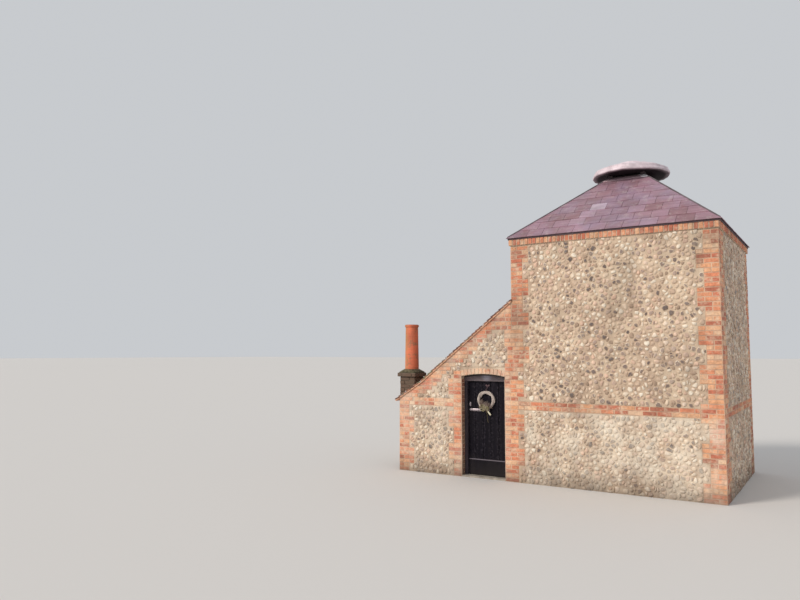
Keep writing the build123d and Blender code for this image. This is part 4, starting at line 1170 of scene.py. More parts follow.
seam = np.abs((angle * CAP_SEAMS / (2 * np.pi) + 0.5) % 1 - 0.5) * 2 * np.pi / CAP_SEAMS
welt = np.exp(-((seam * radius / SEAM_HALF) ** 2)) * SEAM_HEIGHT
place = np.arange(len(profile))[:, None]
welt = welt * (place >= len(under) + SEAMS_FROM_LINE)
beat = waves(angle, (0.0022, 17, 9 * radius), (0.0016, 29, 40 * profile[:, 1:]))
welt = welt + beat * (radius > BEATEN_FROM) * (place >= len(under))
along = np.gradient(profile, axis=0)
along /= np.linalg.norm(along, axis=1, keepdims=True)
points[0, :, :, 0] += welt * along[:, 1:] * np.cos(angle)
points[0, :, :, 1] += welt * along[:, 1:] * np.sin(angle)
points[0, :, :, 2] -= welt * along[:, :1]
sag = waves(angle, *CAP_SAG)
points[0, :, :, 2] += sag * np.clip((radius - SAG_FROM) / SAG_REACH, 0, 1)
# Painted shade: the underside is coloured near black, and the rim's lowest rows fade from it to lead.
shaded = np.zeros(len(profile))
shaded[:len(under)] = UNDER_SHADE
shaded[len(under):len(under) + len(RIM_SHADE)] = RIM_SHADE
shaded = np.broadcast_to(shaded[:, None], points.shape[:3])
lead_cover = add_mesh("lead_cap_cover", points, lead, wrap=True, dark=shaded)
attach(lead_cover, "building")
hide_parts("lead_cap")

edge = np.linspace(0, math.pi / 2, 5)
edge_z = disc_high.z - DISC_CROWN - DISC_EDGE
rounded = np.stack([disc_radius - DISC_EDGE * (1 - np.cos(edge)), edge_z + DISC_EDGE * np.sin(edge)], 1)
share = np.array(CROWN_SHARES)
crown = np.stack([share * disc_radius, disc_high.z - DISC_CROWN * share**CROWN_POWER], 1)
foot_z = disc_low.z - DISC_SUNK
flared = [
    (CLOSE_RADIUS, foot_z), (disc_radius, foot_z),
    (disc_radius + DISC_FLARE, foot_z + FLARE_HEIGHTS[0]), (disc_radius, foot_z + FLARE_HEIGHTS[1]),
]
points, angle = turned(np.vstack([flared, rounded, crown]), (kiln_x, 0), CAP_SIDES)
points[0, :, :, 2] += waves(angle, DISC_SAG)
lead_disc = add_mesh("lead_disc_cover", points, lead, wrap=True)
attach(lead_disc, "building")
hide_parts("cap_disc")


# Lead flashing
# Aprons of sheet lead lap the top course of slates round the vent curb, with one bright new patch
# in the front, and slim lead soakers show as a thin dark line along the hips.
APRON_WIDTH = 0.11
APRON_HIGH = 0.014
APRON_THICK = 0.016
APRON_ARRIS = 0.002
APRON_ROUGH = 0.001
APRON_LINES = (24, 4)
APRON_LILAC = 0.9
PATCH_FROM = 0.82
PATCH_FADE = 0.04
PATCH_BRIGHT = 0.9
SOAKER_HALF = 0.014
SOAKER_EDGE = 0.014
SOAKER_RIDGE = 0.018
SOAKER_SEAT = 0.002
SOAKER_DARK = 0.8
apron_foot = slope_length - APRON_WIDTH


def add_apron(name, turn, seed):
    """One apron: a slab on the slope, beaten a little uneven and mitred at its ends."""
    rng = np.random.default_rng(seed)
    foot = hip_reach(apron_foot)
    low_edge = [(-foot, apron_foot), (foot, apron_foot)]
    high_edge = [(curb_half, slope_length), (-curb_half, slope_length)]
    columns, rows = APRON_LINES
    high = APRON_HIGH + rng.normal(0, APRON_ROUGH, (1, rows + 2, columns + 2))
    edges = [low_edge + high_edge]
    points = laid(edges, slope_plane(turn), high, APRON_THICK, APRON_ARRIS, columns, rows)
    share = np.linspace(0, 1, columns + 2)
    fresh = np.clip((share - PATCH_FROM) / PATCH_FADE, 0, PATCH_BRIGHT) * (turn == 0)
    fresh = np.broadcast_to(fresh, points.shape[:3])
    made = add_mesh(name, points, lead, fresh=fresh, lilac=APRON_LILAC * (1 - fresh))
    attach(made, "building")


for seed, (side, turn) in enumerate(SIDES.items()):
    add_apron(f"curb_apron_{side}", turn, 70 + seed)


def strip_along(start, end, section):
    """A section of (aside, above) pairs carried along a line: its points at both ends."""
    start, end = np.asarray(start, float), np.asarray(end, float)
    forward = (end - start) / np.linalg.norm(end - start)
    aside = np.cross(forward, UPRIGHT)
    aside /= np.linalg.norm(aside)
    above = np.cross(aside, forward)
    section = np.asarray(section, float)
    ring = section[:, :1] * aside + section[:, 1:] * above
    return np.array([[start], [end]]) + ring


fall = math.sin(roof_pitch) * SOAKER_HALF / math.sqrt(2)
soaker_edge = SOAKER_EDGE - fall
soaker_section = [
    (-SOAKER_HALF, soaker_edge), (0, SOAKER_RIDGE), (SOAKER_HALF, soaker_edge),
    (SOAKER_HALF, -fall), (0, SOAKER_SEAT), (-SOAKER_HALF, -fall),
]
hips = []
for across, along in ((-1, -1), (1, -1), (1, 1), (-1, 1)):
    low = (kiln_x + across * eave_half, along * eave_half, eave_z)
    high = (kiln_x + across * curb_half, along * curb_half, roof_top_z)
    hips.append(strip_along(low, high, soaker_section))
soakers = add_mesh("hip_soakers", np.array(hips), lead, wrap=True, smooth=False, dark=SOAKER_DARK)
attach(soakers, "building")


# Lean-to tiles
# Hand-made clay plain tiles in lapped courses, cambered, cut back round the chimney and laid over
# the gables' tops. From the front only the verge shows: tile edges two deep on pale mortar.
TILE_WIDTH = 0.165
TILE_GAUGE = 0.100
TILE_THICK = 0.012
TILE_LAP = 0.030
TILE_CAMBER = 0.0025
TILE_LINES = (-1, -0.98, 0, 0.98, 1)
TILE_RISES = (1.0, 1.0, 0.35, -0.3, -0.3)
TILE_LIFT = 0.001
TILE_LEAN = 0.0016
TILE_TWIST = 0.0012
TILE_SLIP = 0.003
TILE_ARRIS = 0.003
TILE_GAP = 0.0024
TILE_STUB = 0.05
TILE_LEAST = 0.02
HEAD_OVER = 0.01
EAVE_DROP = 0.015
STACK_CLEAR = 0.008
STACK_REACH = 0.005
KINK_CLEAR = 0.1
VERGE_OVER = 0.006
TILE_TONES = [
    (0.00, (0.12, 0.055, 0.042, 1)),
    (0.35, (0.23, 0.095, 0.062, 1)),
    (0.70, (0.31, 0.14, 0.085, 1)),
    (1.00, (0.19, 0.115, 0.09, 1)),
]
GREEN_CRUST = (0.17, 0.18, 0.10, 1)
BED_DARK = (0.60, 0.31, 0.19, 1)
BED_PALE = (0.82, 0.50, 0.33, 1)

clay_tile, tree, shader, where = blank_finish("clay_tile", 0.86)
colour = ramp(tree, mark(tree, "tone"), TILE_TONES)
mottle = spread(tree, noise(tree, where, 24.0, 5.0), 0.3, 0.7, 0.7, 1.2)
colour = toned(tree, colour, mottle)
colour = crusted(tree, colour, PALE_LICHEN, where, 38.0, 0.65)["Color"]
coloured(tree, shader, crusted(tree, colour, GREEN_CRUST, where, 17.0, 0.8)["Color"])
pitted(tree, shader, where, 55.0, 0.6, 0.004)

tiles_low, tiles_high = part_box("lean_to_roof")
roof_points = cad_points("lean_to_roof")
shaft_low = stack_low + Vector((STACK_COURSE_PROUD, STACK_COURSE_PROUD, 0))
shaft_high = stack_high - Vector((STACK_COURSE_PROUD, STACK_COURSE_PROUD, 0))
verge_y = (tiles_low.y - VERGE_OVER, tiles_high.y + VERGE_OVER)
kink_band = (roof_points[:, 0] > LEFT_X + KINK_CLEAR) & (roof_points[:, 0] < SIDE_X - KINK_CLEAR)
tile_kink = roof_points[kink_band]
tile_kink = tile_kink[tile_kink[:, 2].argmax()]
eave_tip = roof_points[np.abs(roof_points[:, 0] - tiles_low.x) < READ_SLACK]
eave_tip = eave_tip[eave_tip[:, 2].argmax()]


def tile_slope(foot, head):
    """Plane and length of a tiled slope that faces left, from a foot to a head in x and z."""
    rise = np.array([head[0] - foot[0], 0, head[2] - foot[2]])
    length = np.linalg.norm(rise)
    return ((foot[0], 0, foot[2]), (0, -1, 0), rise / length), length


def tile_rows(first, length, drop):
    """Tiles of one slope in courses, half a tile on in every other course and cut at the verges.

    Returns a row of left, right, tail and head for each tile, and the number of courses.
    """
    count = round((length + drop) / TILE_GAUGE)
    gauge = (length + drop) / count
    rows = []
    for course in range(count):
        tail = -drop + course * gauge
        head = min(tail + gauge + TILE_LAP, length + HEAD_OVER)
        shift = TILE_WIDTH / 2 * ((course + first) % 2)
        joints = np.arange(verge_y[0] + shift + TILE_WIDTH, verge_y[1] - TILE_STUB, TILE_WIDTH)
        for left, right in zip([verge_y[0], *joints], [*joints, verge_y[1]]):
            rows.append([left + TILE_GAP / 2, right - TILE_GAP / 2, tail, head])
    return np.array(rows), count


def clear_of_stack(rows, plane):
    """Drops tiles that lie in the chimney and trims those that reach into it from a side."""
    origin, _, up = plane
    left, right, tail, head = rows.T
    beside = origin[0] + tail * up[0] < shaft_high.x + STACK_REACH
    beside &= origin[0] + head * up[0] > shaft_low.x - STACK_REACH
    low, high = -shaft_high.y - STACK_CLEAR, -shaft_low.y + STACK_CLEAR
    within = beside & (right > low) & (left < high)
    from_left = within & (left < low)
    from_right = within & (right > high)
    trimmed_left = np.where(from_right, high, left)
    trimmed_right = np.where(from_left, low, right)
    kept = ~within | from_left | from_right
    kept &= trimmed_right - trimmed_left >= TILE_LEAST
    return np.stack([trimmed_left, trimmed_right, tail, head], 1)[kept]


def add_tiles(name, foot, head, first, drop, seed):
    """The tiles of one slope: cambered slabs that rise towards their tails."""
    rng = np.random.default_rng(seed)
    plane, length = tile_slope(foot, head)
    rows, count = tile_rows(first, length, drop)
    rows = clear_of_stack(rows, plane)
    left, right, tail, head = rows.T
    slip = rng.normal(0, TILE_SLIP, (len(rows), 2)).T
    corners = [(left, tail + slip[0]), (right, tail + slip[1]), (right, head), (left, head)]
    corners = np.array(corners).transpose(2, 0, 1)
    across = np.array(TILE_LINES)
    camber = TILE_CAMBER * (1 - across**2)
    rise = TILE_LIFT + TILE_THICK * np.array(TILE_RISES)
    high = rise[None, :, None] + camber[None, None] + rng.normal(0, TILE_LEAN, (len(rows), 1, 1))
    high = high + rng.normal(0, TILE_TWIST, (len(rows), 1, 1)) * across
    points = laid(corners, plane, high, 2 * TILE_THICK, TILE_ARRIS, 3, 3)
    made = add_mesh(name, points, clay_tile, smooth=False, tone=rng.random(len(rows)))
    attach(made, "building")
    return count


head_edge = (SIDE_X, 0, tiles_high.z)
foot_courses = add_tiles("foot_tiles", eave_tip, tile_kink, 0, EAVE_DROP, 81)
add_tiles("lean_to_tiles", tile_kink, head_edge, foot_courses, 0.0, 82)

verge_bed, tree, shader, where = blank_finish("tile_bed", 0.9)
colour = mix_colours(tree, noise(tree, where, 12.0, 5.0), BED_DARK, BED_PALE)
coloured(tree, shader, colour)
pitted(tree, shader, where, 40.0, 0.6, 0.006)
dress(verge_bed, "lean_to_roof")


# Chimney stack
# One and a half bricks square from the ground up, partly in the low wall and partly outside it,
# with the top course laid proud, bricks and joints alike darkened by smoke and damp and by painted shade.
STACK_DIRT_AND_SHADE = 0.94
STACK_TONES = (0.3, 0.95)
TOP_TONES = (0.5, 0.95)
STACK_CORNER_OUT = 0.003
SMOKED_SHADED_DARK = (0.10, 0.07, 0.05, 1)
SMOKED_SHADED_PALE = (0.20, 0.15, 0.11, 1)
# The stack's joints are near-black brown: smoke and damp together with painted shade.
smoked_shaded_mortar, tree, shader, where = blank_finish("smoked_shaded_mortar", 0.92)
tone = spread(tree, noise(tree, where, 9.0, 6.0), 0.35, 0.65)
coloured(tree, shader, mix_colours(tree, tone, SMOKED_SHADED_DARK, SMOKED_SHADED_PALE))
pitted(tree, shader, where, 50.0, 0.7, 0.006)
dress(smoked_shaded_mortar, "chimney_stack")
top_course = round(stack_high.z / COURSE) - 1
stack_faces = {
    "left": (((shaft_low.x, 0, 0), (0, -1, 0), UPRIGHT), (-shaft_high.y, -shaft_low.y), 0),
    "front": (((0, shaft_low.y, 0), (1, 0, 0), UPRIGHT), (shaft_low.x, shaft_high.x), 0),
    "back": (((0, shaft_high.y, 0), (-1, 0, 0), UPRIGHT), (-shaft_high.x, -shaft_low.x), 0),
    "right": (((shaft_high.x, 0, 0), (0, 1, 0), UPRIGHT), (shaft_low.y, shaft_high.y), rake_first + 1),
}


def stack_courses(first, last, left, right, shift):
    """Bricks of some courses of one face; a shift of 1 moves their bond on by half a brick."""
    rows = [lay_course(course + shift, left, right) for course in range(first, last)]
    return [[(u, z - shift * COURSE) for u, z in piece] for row in rows for piece in row]


for seed, (side, (plane, (left, right), first)) in enumerate(stack_faces.items()):
    over = STACK_CORNER_OUT
    corners = stack_courses(first, top_course, left - over, right + over, seed % 2)
    add_bricks(f"stack_bricks_{side}", corners, plane, 90 + seed, STACK_TONES, STACK_DIRT_AND_SHADE)
    out = np.cross(np.asarray(plane[1], float), UPRIGHT)
    proud = (np.asarray(plane[0], float) + out * STACK_COURSE_PROUD, plane[1], UPRIGHT)
    over = STACK_COURSE_PROUD + STACK_CORNER_OUT
    corners = stack_courses(top_course, top_course + 1, left - over, right + over, seed % 2)
    add_bricks(f"stack_top_bricks_{side}", corners, proud, 95 + seed, TOP_TONES, STACK_DIRT_AND_SHADE)


# Flaunching and chimney pot
# Mortar sloped round the pot's foot, dark with damp. The pot is a thrown red clay tube that
# narrows upward to a rolled rim, sooty inside, with painted olive-brown shade down its left side.
POT_SIDES = 72
POT_FOOT = 0.140
POT_NECK = 0.127
POT_BORE = 0.104
POT_RIM_HEIGHT = 0.055
POT_RIM_FOOT = 0.006
POT_LIP = 0.008
POT_LIP_CROWN = 0.001
POT_SOOT_LINE = 0.3
POT_WOBBLE = (0.006, 2, 0.7)
SHADED_SIDE_REACH = (0.06, 0.17)
FLAUNCHING_ROWS = 6
FLAUNCHING_NECK = 0.012
FLAUNCHING_CORNER = 1.34
FLAUNCHING_HOLLOW = 0.8
FLAUNCHING_TUCK = 0.002
POT_RED = (0.82, 0.20, 0.095, 1)
POT_DARK = (0.52, 0.14, 0.07, 1)
POT_SHADE_OLIVE = (0.44, 0.24, 0.09, 1)
SOOT = (0.05, 0.04, 0.035, 1)
DAMP_DARK = (0.045, 0.038, 0.018, 1)
DAMP_PALE = (0.20, 0.17, 0.10, 1)

terracotta, tree, shader, where = blank_finish("red_clay_pot", 0.75)
blush = noise(tree, stretched(tree, where, (3.0, 3.0, 1.2)), 2.0, 6.0, 0.6)
colour = mix_colours(tree, spread(tree, blush, 0.35, 0.62), POT_DARK, POT_RED)
turning = noise(tree, stretched(tree, where, (1.0, 1.0, 60.0)), 1.0, 3.0)
colour = toned(tree, colour, spread(tree, turning, 0.3, 0.7, 0.88, 1.08))
colour = crusted(tree, colour, GREEN_CRUST, where, 26.0, 0.5)["Color"]
pot_low, pot_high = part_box("chimney_pot")
place = node(tree, "SeparateXYZ", {0: where})
# Painted shade: the pot's left side blends into olive brown, broken up by noise.
low, high = (pot_low.x + reach for reach in SHADED_SIDE_REACH)
shaded_side = spread(tree, place["X"], low, high, 1.0, 0.0)
broken = spread(tree, noise(tree, where, 9.0, 5.0), 0.35, 0.6, 0.25, 0.8)
colour = mix_colours(tree, maths(tree, "MULTIPLY", shaded_side, broken), colour, POT_SHADE_OLIVE)
top = spread(tree, place["Z"], pot_high.z - 0.03, pot_high.z, 0.0, 0.35)
colour = mix_colours(tree, top, colour, SOOT)
coloured(tree, shader, mix_colours(tree, mark(tree, "soot"), colour, SOOT))
pitted(tree, shader, where, 40.0, 0.4, 0.003)

pot_centre = ((pot_low.x + pot_high.x) / 2, (pot_low.y + pot_high.y) / 2)
flaunch_low, flaunch_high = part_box("flaunching")
rim_low = pot_high.z - POT_RIM_HEIGHT
bulge = np.linspace(-math.pi / 2, math.pi / 2, 9)
rim_out = (pot_high.x - pot_low.x - 2 * POT_NECK) / 2
rim_z = rim_low + POT_RIM_HEIGHT / 2 * (1 + np.sin(bulge))
rolled = np.stack([POT_NECK + rim_out * np.cos(bulge), rim_z], 1)
body_z = np.linspace(flaunch_high.z, rim_low - POT_RIM_FOOT, 12)
body = np.stack([np.interp(body_z, [flaunch_high.z, rim_low], [POT_FOOT, POT_NECK]), body_z], 1)
mouth = [
    (POT_NECK - POT_LIP, pot_high.z + POT_LIP_CROWN),
    (POT_BORE + POT_LIP / 2, pot_high.z - POT_LIP_CROWN),
]
bore = [(POT_BORE, z) for z in (pot_high.z - POT_LIP, pot_low.z + POT_SOOT_LINE, pot_low.z)]
profile = np.vstack([[(POT_FOOT, pot_low.z)], body, rolled, mouth, bore])
points, angle = turned(profile, pot_centre, POT_SIDES)
wobble = 1 + waves(angle, POT_WOBBLE)
points[0, :, :, :2] = pot_centre + (points[0, :, :, :2] - pot_centre) * wobble[None, :, None]
soot = np.zeros(points.shape[:3])
soot[:, -3:] = 1.0
soot[:, -4] = 0.5
pot = add_mesh("clay_pot", points, terracotta, looped=True, soot=soot)
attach(pot, "building")
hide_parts("chimney_pot")

damp_mortar, tree, shader, where = blank_finish("damp_mortar", 0.95)
dried = spread(tree, noise(tree, where, 14.0, 6.0, 0.7), 0.40, 0.72)
coloured(tree, shader, mix_colours(tree, dried, DAMP_DARK, DAMP_PALE))
pitted(tree, shader, where, 35.0, 0.9, 0.008)
flaunch_half = (flaunch_high.x - flaunch_low.x) / 2
square = flaunch_half / np.maximum(np.abs(np.cos(angle)), np.abs(np.sin(angle)))
square = np.minimum(square, flaunch_half * FLAUNCHING_CORNER)
share = np.linspace(0, 1, FLAUNCHING_ROWS)[:, None]
radius = square * (1 - share) + (POT_FOOT + FLAUNCHING_NECK) * share
radius = radius + waves(angle, (0.004, 9, 5 * share)) * share * (1 - share) * 4
rise = flaunch_low.z + (flaunch_high.z - flaunch_low.z) * share**FLAUNCHING_HOLLOW + 0 * radius
foot_ring, top_ring = (
    np.broadcast_to((POT_FOOT - FLAUNCHING_TUCK, height), (1, POT_SIDES, 2))
    for height in (flaunch_low.z, flaunch_high.z)
)
rings = np.concatenate([foot_ring, np.stack([radius, rise], -1), top_ring])
points, _ = turned(rings, pot_centre, POT_SIDES)
bed = add_mesh("flaunching_cover", points, damp_mortar, looped=True)
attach(bed, "building")
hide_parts("flaunching")


# Door arch
# A flat segmental arch of bricks on end over the doorway, cream and pink under a smear of lime.
ARCH_RISE = 0.045
ARCH_DEPTH = 0.110
ARCH_BRICK = 0.074
ARCH_GAP = 0.004
ARCH_TONES = (0.0, 0.6)
ARCH_LIME = 0.15
arch_half = (DOOR_RIGHT - DOOR_LEFT) / 2
arch_radius = (arch_half**2 + ARCH_RISE**2) / (2 * ARCH_RISE)
arch_centre = ((DOOR_LEFT + DOOR_RIGHT) / 2, arch_low.z + ARCH_RISE - arch_radius)
arch_span = math.asin(arch_half / arch_radius)
arch_count = round(2 * arch_span * arch_radius / ARCH_BRICK)
arch_joints = np.linspace(-arch_span, arch_span, arch_count + 1)
near, far = arch_radius + ARCH_GAP, arch_radius + ARCH_DEPTH - ARCH_GAP
voussoirs = []
for a, b in zip(arch_joints[:-1], arch_joints[1:]):
    a, b = a + JOINT / 2 / arch_radius, b - JOINT / 2 / arch_radius
    reach = np.array([near, near, far, far])
    lean = np.array([a, b, b, a])
    x = arch_centre[0] + reach * np.sin(lean)
    voussoirs.append(np.stack([x, arch_centre[1] + reach * np.cos(lean)], 1))
add_bricks("arch_bricks", voussoirs, front_plane, 100, ARCH_TONES, limed=ARCH_LIME)


# Doorway: frame and threshold
# A softwood frame painted dark grey, its head cut to the arch, with a painted highlight in its
# middle and a painted black shadow under the bricks, on a worn stone slab.
FRAME_GREY = (0.165, 0.122, 0.130, 1)
FRAME_WORN = (0.075, 0.06, 0.068, 1)
FRAME_HIGHLIGHT = (0.30, 0.29, 0.36, 1)
HIGHLIGHT_AT = (-0.99, -1.615, 1.875)
HIGHLIGHT_REACH = 0.13
FRAME_ARCH_SHADOW = (0.012, 0.006, 0.006, 1)
SHADOW_FROM_ARCH = (0.044, 0.022)
POST_SHADE_DARK = (0.022, 0.017, 0.024, 1)
POST_SHADE_PALE = (0.060, 0.045, 0.055, 1)
ALONG_POST = (40.0, 40.0, 3.0)
ALONG_HEAD = (3.0, 40.0, 40.0)
STONE_PALE = (0.42, 0.37, 0.31, 1)
STONE_DARK = (0.22, 0.19, 0.16, 1)

# The posts, set deep in the reveals, are painted near black, far darker than the head: painted shade.
frame_paint = wood_finish("frame_paint", ALONG_POST, POST_SHADE_DARK, POST_SHADE_PALE, 0.7)
dress(frame_paint, "frame_post_left", "frame_post_right")

head_paint, tree, shader, where = blank_finish("head_paint", 0.6)
lines = grain_lines(tree, where, ALONG_HEAD)
colour = mix_colours(tree, spread(tree, lines, 0.36, 0.64), FRAME_WORN, FRAME_GREY)
# Painted highlight: a pale blue-grey patch in the middle of the head.
away = node(tree, "VectorMath", {0: where, 1: HIGHLIGHT_AT}, operation="DISTANCE")["Value"]
faded = spread(tree, away, HIGHLIGHT_REACH * 0.3, HIGHLIGHT_REACH, 0.85, 0.0)
colour = mix_colours(tree, faded, colour, FRAME_HIGHLIGHT)
# Painted shadow: the head's top, just under the arch's bricks, goes near black.
flat = stretched(tree, where, (1.0, 0.0, 1.0))
middle = (arch_centre[0], 0, arch_centre[1])
from_middle = node(tree, "VectorMath", {0: flat, 1: middle}, operation="DISTANCE")["Value"]
low, high = (arch_radius - depth for depth in SHADOW_FROM_ARCH)
colour = mix_colours(tree, spread(tree, from_middle, low, high), colour, FRAME_ARCH_SHADOW)
coloured(tree, shader, colour)
roughen(tree, shader, lines, 0.5, 0.004)
dress(head_paint, "frame_head")

stone, tree, shader, where = blank_finish("worn_stone", 0.85)
tone = spread(tree, noise(tree, where, 7.0, 6.0), 0.35, 0.65)
coloured(tree, shader, mix_colours(tree, tone, STONE_DARK, STONE_PALE))
pitted(tree, shader, where, 30.0, 0.6, 0.005)
dress(stone, "threshold")


# Door leaf
# Five upright softwood boards with rounded edges, nailed to three ledges, and a kick board across
# the foot with a bevelled top; all in old black paint that is worn along the edges.
BOARD_COUNT = 5
BOARD_ARRIS = 0.004
BOARD_GAP = 0.0012
BOARD_WARP = 0.0005
BOARD_LINES = (3, 12)
BOARD_WEAR = 0.6
KICK_ARRIS = 0.003
KICK_LINES = (12, 5)
KICK_BEVEL = 0.010
KICK_BEVEL_FOOT = 0.004
KICK_HIGHLIGHT = 0.8
PAINT_BLACK = (0.004, 0.003, 0.006, 1)
PAINT_WORN = (0.009, 0.007, 0.013, 1)
PAINT_EDGE = (0.06, 0.052, 0.064, 1)
PAINT_HIGHLIGHT = (0.22, 0.19, 0.22, 1)
DOOR_DUST = (0.06, 0.05, 0.045, 1)
ALONG_BOARDS = (45.0, 45.0, 2.2)

door_paint, tree, shader, where = blank_finish("black_door_paint", 0.5)
shader.inputs["Specular IOR Level"].default_value = 0.10
lines = grain_lines(tree, where, ALONG_BOARDS)
colour = mix_colours(tree, spread(tree, lines, 0.42, 0.66), PAINT_BLACK, PAINT_WORN)
chipped = spread(tree, noise(tree, where, 38.0, 5.0, 0.7), 0.5, 0.62)
edge_wear = maths(tree, "MULTIPLY", mark(tree, "edge"), chipped)
colour = mix_colours(tree, edge_wear, colour, PAINT_EDGE)
# A mark at the points blends in a pale grey: a painted highlight, here on the kick board's top.
colour = mix_colours(tree, mark(tree, "faded"), colour, PAINT_HIGHLIGHT)
coloured(tree, shader, weathered(tree, colour, where, 0.1, 0.35, DOOR_DUST))
tree.links.new(spread(tree, lines, 0.3, 0.7, 0.38, 0.62), shader.inputs["Roughness"])
roughen(tree, shader, lines, 0.45, 0.003)

leaf_low, leaf_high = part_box("door_planks")
kick_low, kick_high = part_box("kick_board")
rng = np.random.default_rng(110)
joints = np.linspace(leaf_low.x, leaf_high.x, BOARD_COUNT + 1)
boards = [
    squared(a + BOARD_GAP / 2, b - BOARD_GAP / 2, leaf_low.z, leaf_high.z)
    for a, b in zip(joints[:-1], joints[1:])
]
back_of_boards = ((0, leaf_high.y, 0), (1, 0, 0), UPRIGHT)
thickness = leaf_high.y - leaf_low.y
columns, rows = BOARD_LINES
warp = thickness + rng.normal(0, BOARD_WARP, (BOARD_COUNT, rows + 2, columns + 2))
points = laid(boards, back_of_boards, warp, thickness, BOARD_ARRIS, columns, rows)
edge = np.full(points.shape[:3], BOARD_WEAR)
edge[:, 2:-2, 2:-2] = 0
leaf = add_mesh("door_boards", points, door_paint, smooth=False, edge=edge)
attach(leaf, "door")
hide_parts("door_planks")

kick = [squared(kick_low.x, kick_high.x, kick_low.z, kick_high.z)]
kick_deep = kick_high.y - kick_low.y
back_of_kick = ((0, kick_high.y, 0), (1, 0, 0), UPRIGHT)
points = laid(kick, back_of_kick, kick_deep, kick_deep, KICK_ARRIS, *KICK_LINES)
points[0, -2, :, 2] -= KICK_BEVEL
points[0, -3, :, 2] = points[0, -2, :, 2] - KICK_BEVEL_FOOT
# Painted highlight along the kick board's bevelled top.
faded = np.zeros(points.shape[:3])
faded[:, -2:] = KICK_HIGHLIGHT
kick_cover = add_mesh("kick_board_cover", points, door_paint, smooth=False, faded=faded)
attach(kick_cover, "door")
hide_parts("kick_board")
dress(door_paint, "door_ledges")


# Nails
# Rose-headed nails through the boards into each ledge, two to a board, painted over.
LEDGES = (0.26, 0.89, 1.52)
NAIL_RADIUS = 0.0065
NAIL_HEAD = [(1.0, 0.001), (0.9, -0.0015), (0.4, -0.0032)]
NAIL_SIDES = 8
NAIL_ASIDE = 0.045
NAIL_WEAR = 0.2

board_middles = (joints[:-1] + joints[1:]) / 2
nail_x = np.concatenate([board_middles - NAIL_ASIDE, board_middles + NAIL_ASIDE])
nail_places = np.array([(x, z) for x in nail_x for z in LEDGES])
angle = -ring_angles(NAIL_SIDES)
rings = np.array([(NAIL_RADIUS * share, out) for share, out in NAIL_HEAD])
x = nail_places[:, 0, None, None] - rings[:, :1] * np.cos(angle)
z = nail_places[:, 1, None, None] - rings[:, :1] * np.sin(angle)
y = np.broadcast_to(leaf_low.y + rings[:, 1:], x.shape)
nails = add_mesh("door_nails", np.stack([x, y, z], -1), door_paint, wrap=True, edge=NAIL_WEAR)
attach(nails, "door")


# Hinges
# Wrought-iron hooks on the brick reveal behind the frame and long tapered bands on the ledges,
# black and a little rusty.
IRON_BLACK = (0.030, 0.026, 0.025, 1)
IRON_RUST = (0.14, 0.055, 0.028, 1)

iron, tree, shader, where = blank_finish("black_iron", 0.6)
shader.inputs["Metallic"].default_value = 0.4
rust = spread(tree, noise(tree, where, 40.0, 6.0, 0.7), 0.52, 0.68)
coloured(tree, shader, mix_colours(tree, rust, IRON_BLACK, IRON_RUST))
roughen(tree, shader, noise(tree, where, 90.0), 0.4, 0.002)
dress(iron, "hinge_hooks", "hinge_bands")


# Bolt and knob
# A galvanised bolt on a plate, with two straps over its round bar, and above it a small turned
# knob on an upright plate, all screwed to the boards.
ZINC_PALE = (0.62, 0.54, 0.57, 1)
ZINC_DARK = (0.36, 0.31, 0.34, 1)
BOLT_PLATE = 0.004
BOLT_PLATE_ARRIS = 0.003
BAR_RADIUS = 0.008
BAR_OUT = 0.0064
HANDLE_FROM_END = 0.13
HANDLE_RADIUS = 0.005
STRAP_WIDTH = 0.022
STRAPS_FROM_ENDS = (0.05, 0.045)
STRAP_ROUND = (0.013, 0.0125)
STRAP_INSIDE = 0.78
STRAP_FOOT = 0.021
STRAP_THICK = 0.0015
HANDLE_REACH = (0.018, 0.012)
KNOB_RADIUS = 0.014
KNOB_SIDES = 24
KNOB_OVAL = (1.6, 1.12)
KNOB_PLATE_SIDES = 40
KNOB_PLATE_STEPS = [(0.93, 0.0), (1.0, -0.0008), (0.97, -0.0022), (0.86, -0.0026), (0.04, -0.0026)]

zinc, tree, shader, where = blank_finish("galvanised_steel", 0.50)
shader.inputs["Metallic"].default_value = 0.55
spangle = node(tree, "TexVoronoi", {"Vector": where, "Scale": 160.0})["Color"]
spangle = node(tree, "SeparateColor", {0: spangle})[0]
coloured(tree, shader, mix_colours(tree, spangle, ZINC_DARK, ZINC_PALE))
roughen(tree, shader, noise(tree, where, 60.0), 0.2, 0.001)

bolt_low, bolt_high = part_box("door_bolt")
bolt_z = (bolt_low.z + bolt_high.z) / 2
plate = [squared(bolt_low.x, bolt_high.x, bolt_low.z, bolt_high.z)]
front_of_boards = ((0, leaf_low.y, 0), (1, 0, 0), UPRIGHT)
points = laid(plate, front_of_boards, BOLT_PLATE, BOLT_PLATE, BOLT_PLATE_ARRIS, 8, 3)
bolt_plate = add_mesh("bolt_plate", points, zinc)
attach(bolt_plate, "door")
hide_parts("door_bolt")


def rod(start, end, radius, sides=16, round_end=0.35):
    """A round rod between two points: rings across it, drawn in a little at both ends."""
    start, end = np.asarray(start, float), np.asarray(end, float)
    length = np.linalg.norm(end - start)
    forward = (end - start) / length
    other = UPRIGHT if abs(forward[2]) < 0.9 else (1, 0, 0)
    aside = np.cross(forward, other)
    aside /= np.linalg.norm(aside)
    above = np.cross(forward, aside)
    angle = ring_angles(sides)
    ring = np.cos(angle)[:, None] * aside + np.sin(angle)[:, None] * above
    inset = radius * round_end
    stations = np.array([0, inset * 0.3, inset, length - inset, length - inset * 0.3, length])
    half_ring = np.array([1 - round_end, 1 - round_end * 0.3, 1])
    widths = radius * np.concatenate([half_ring, half_ring[::-1]])
    return start + stations[:, None, None] * forward + widths[:, None, None] * ring[None]


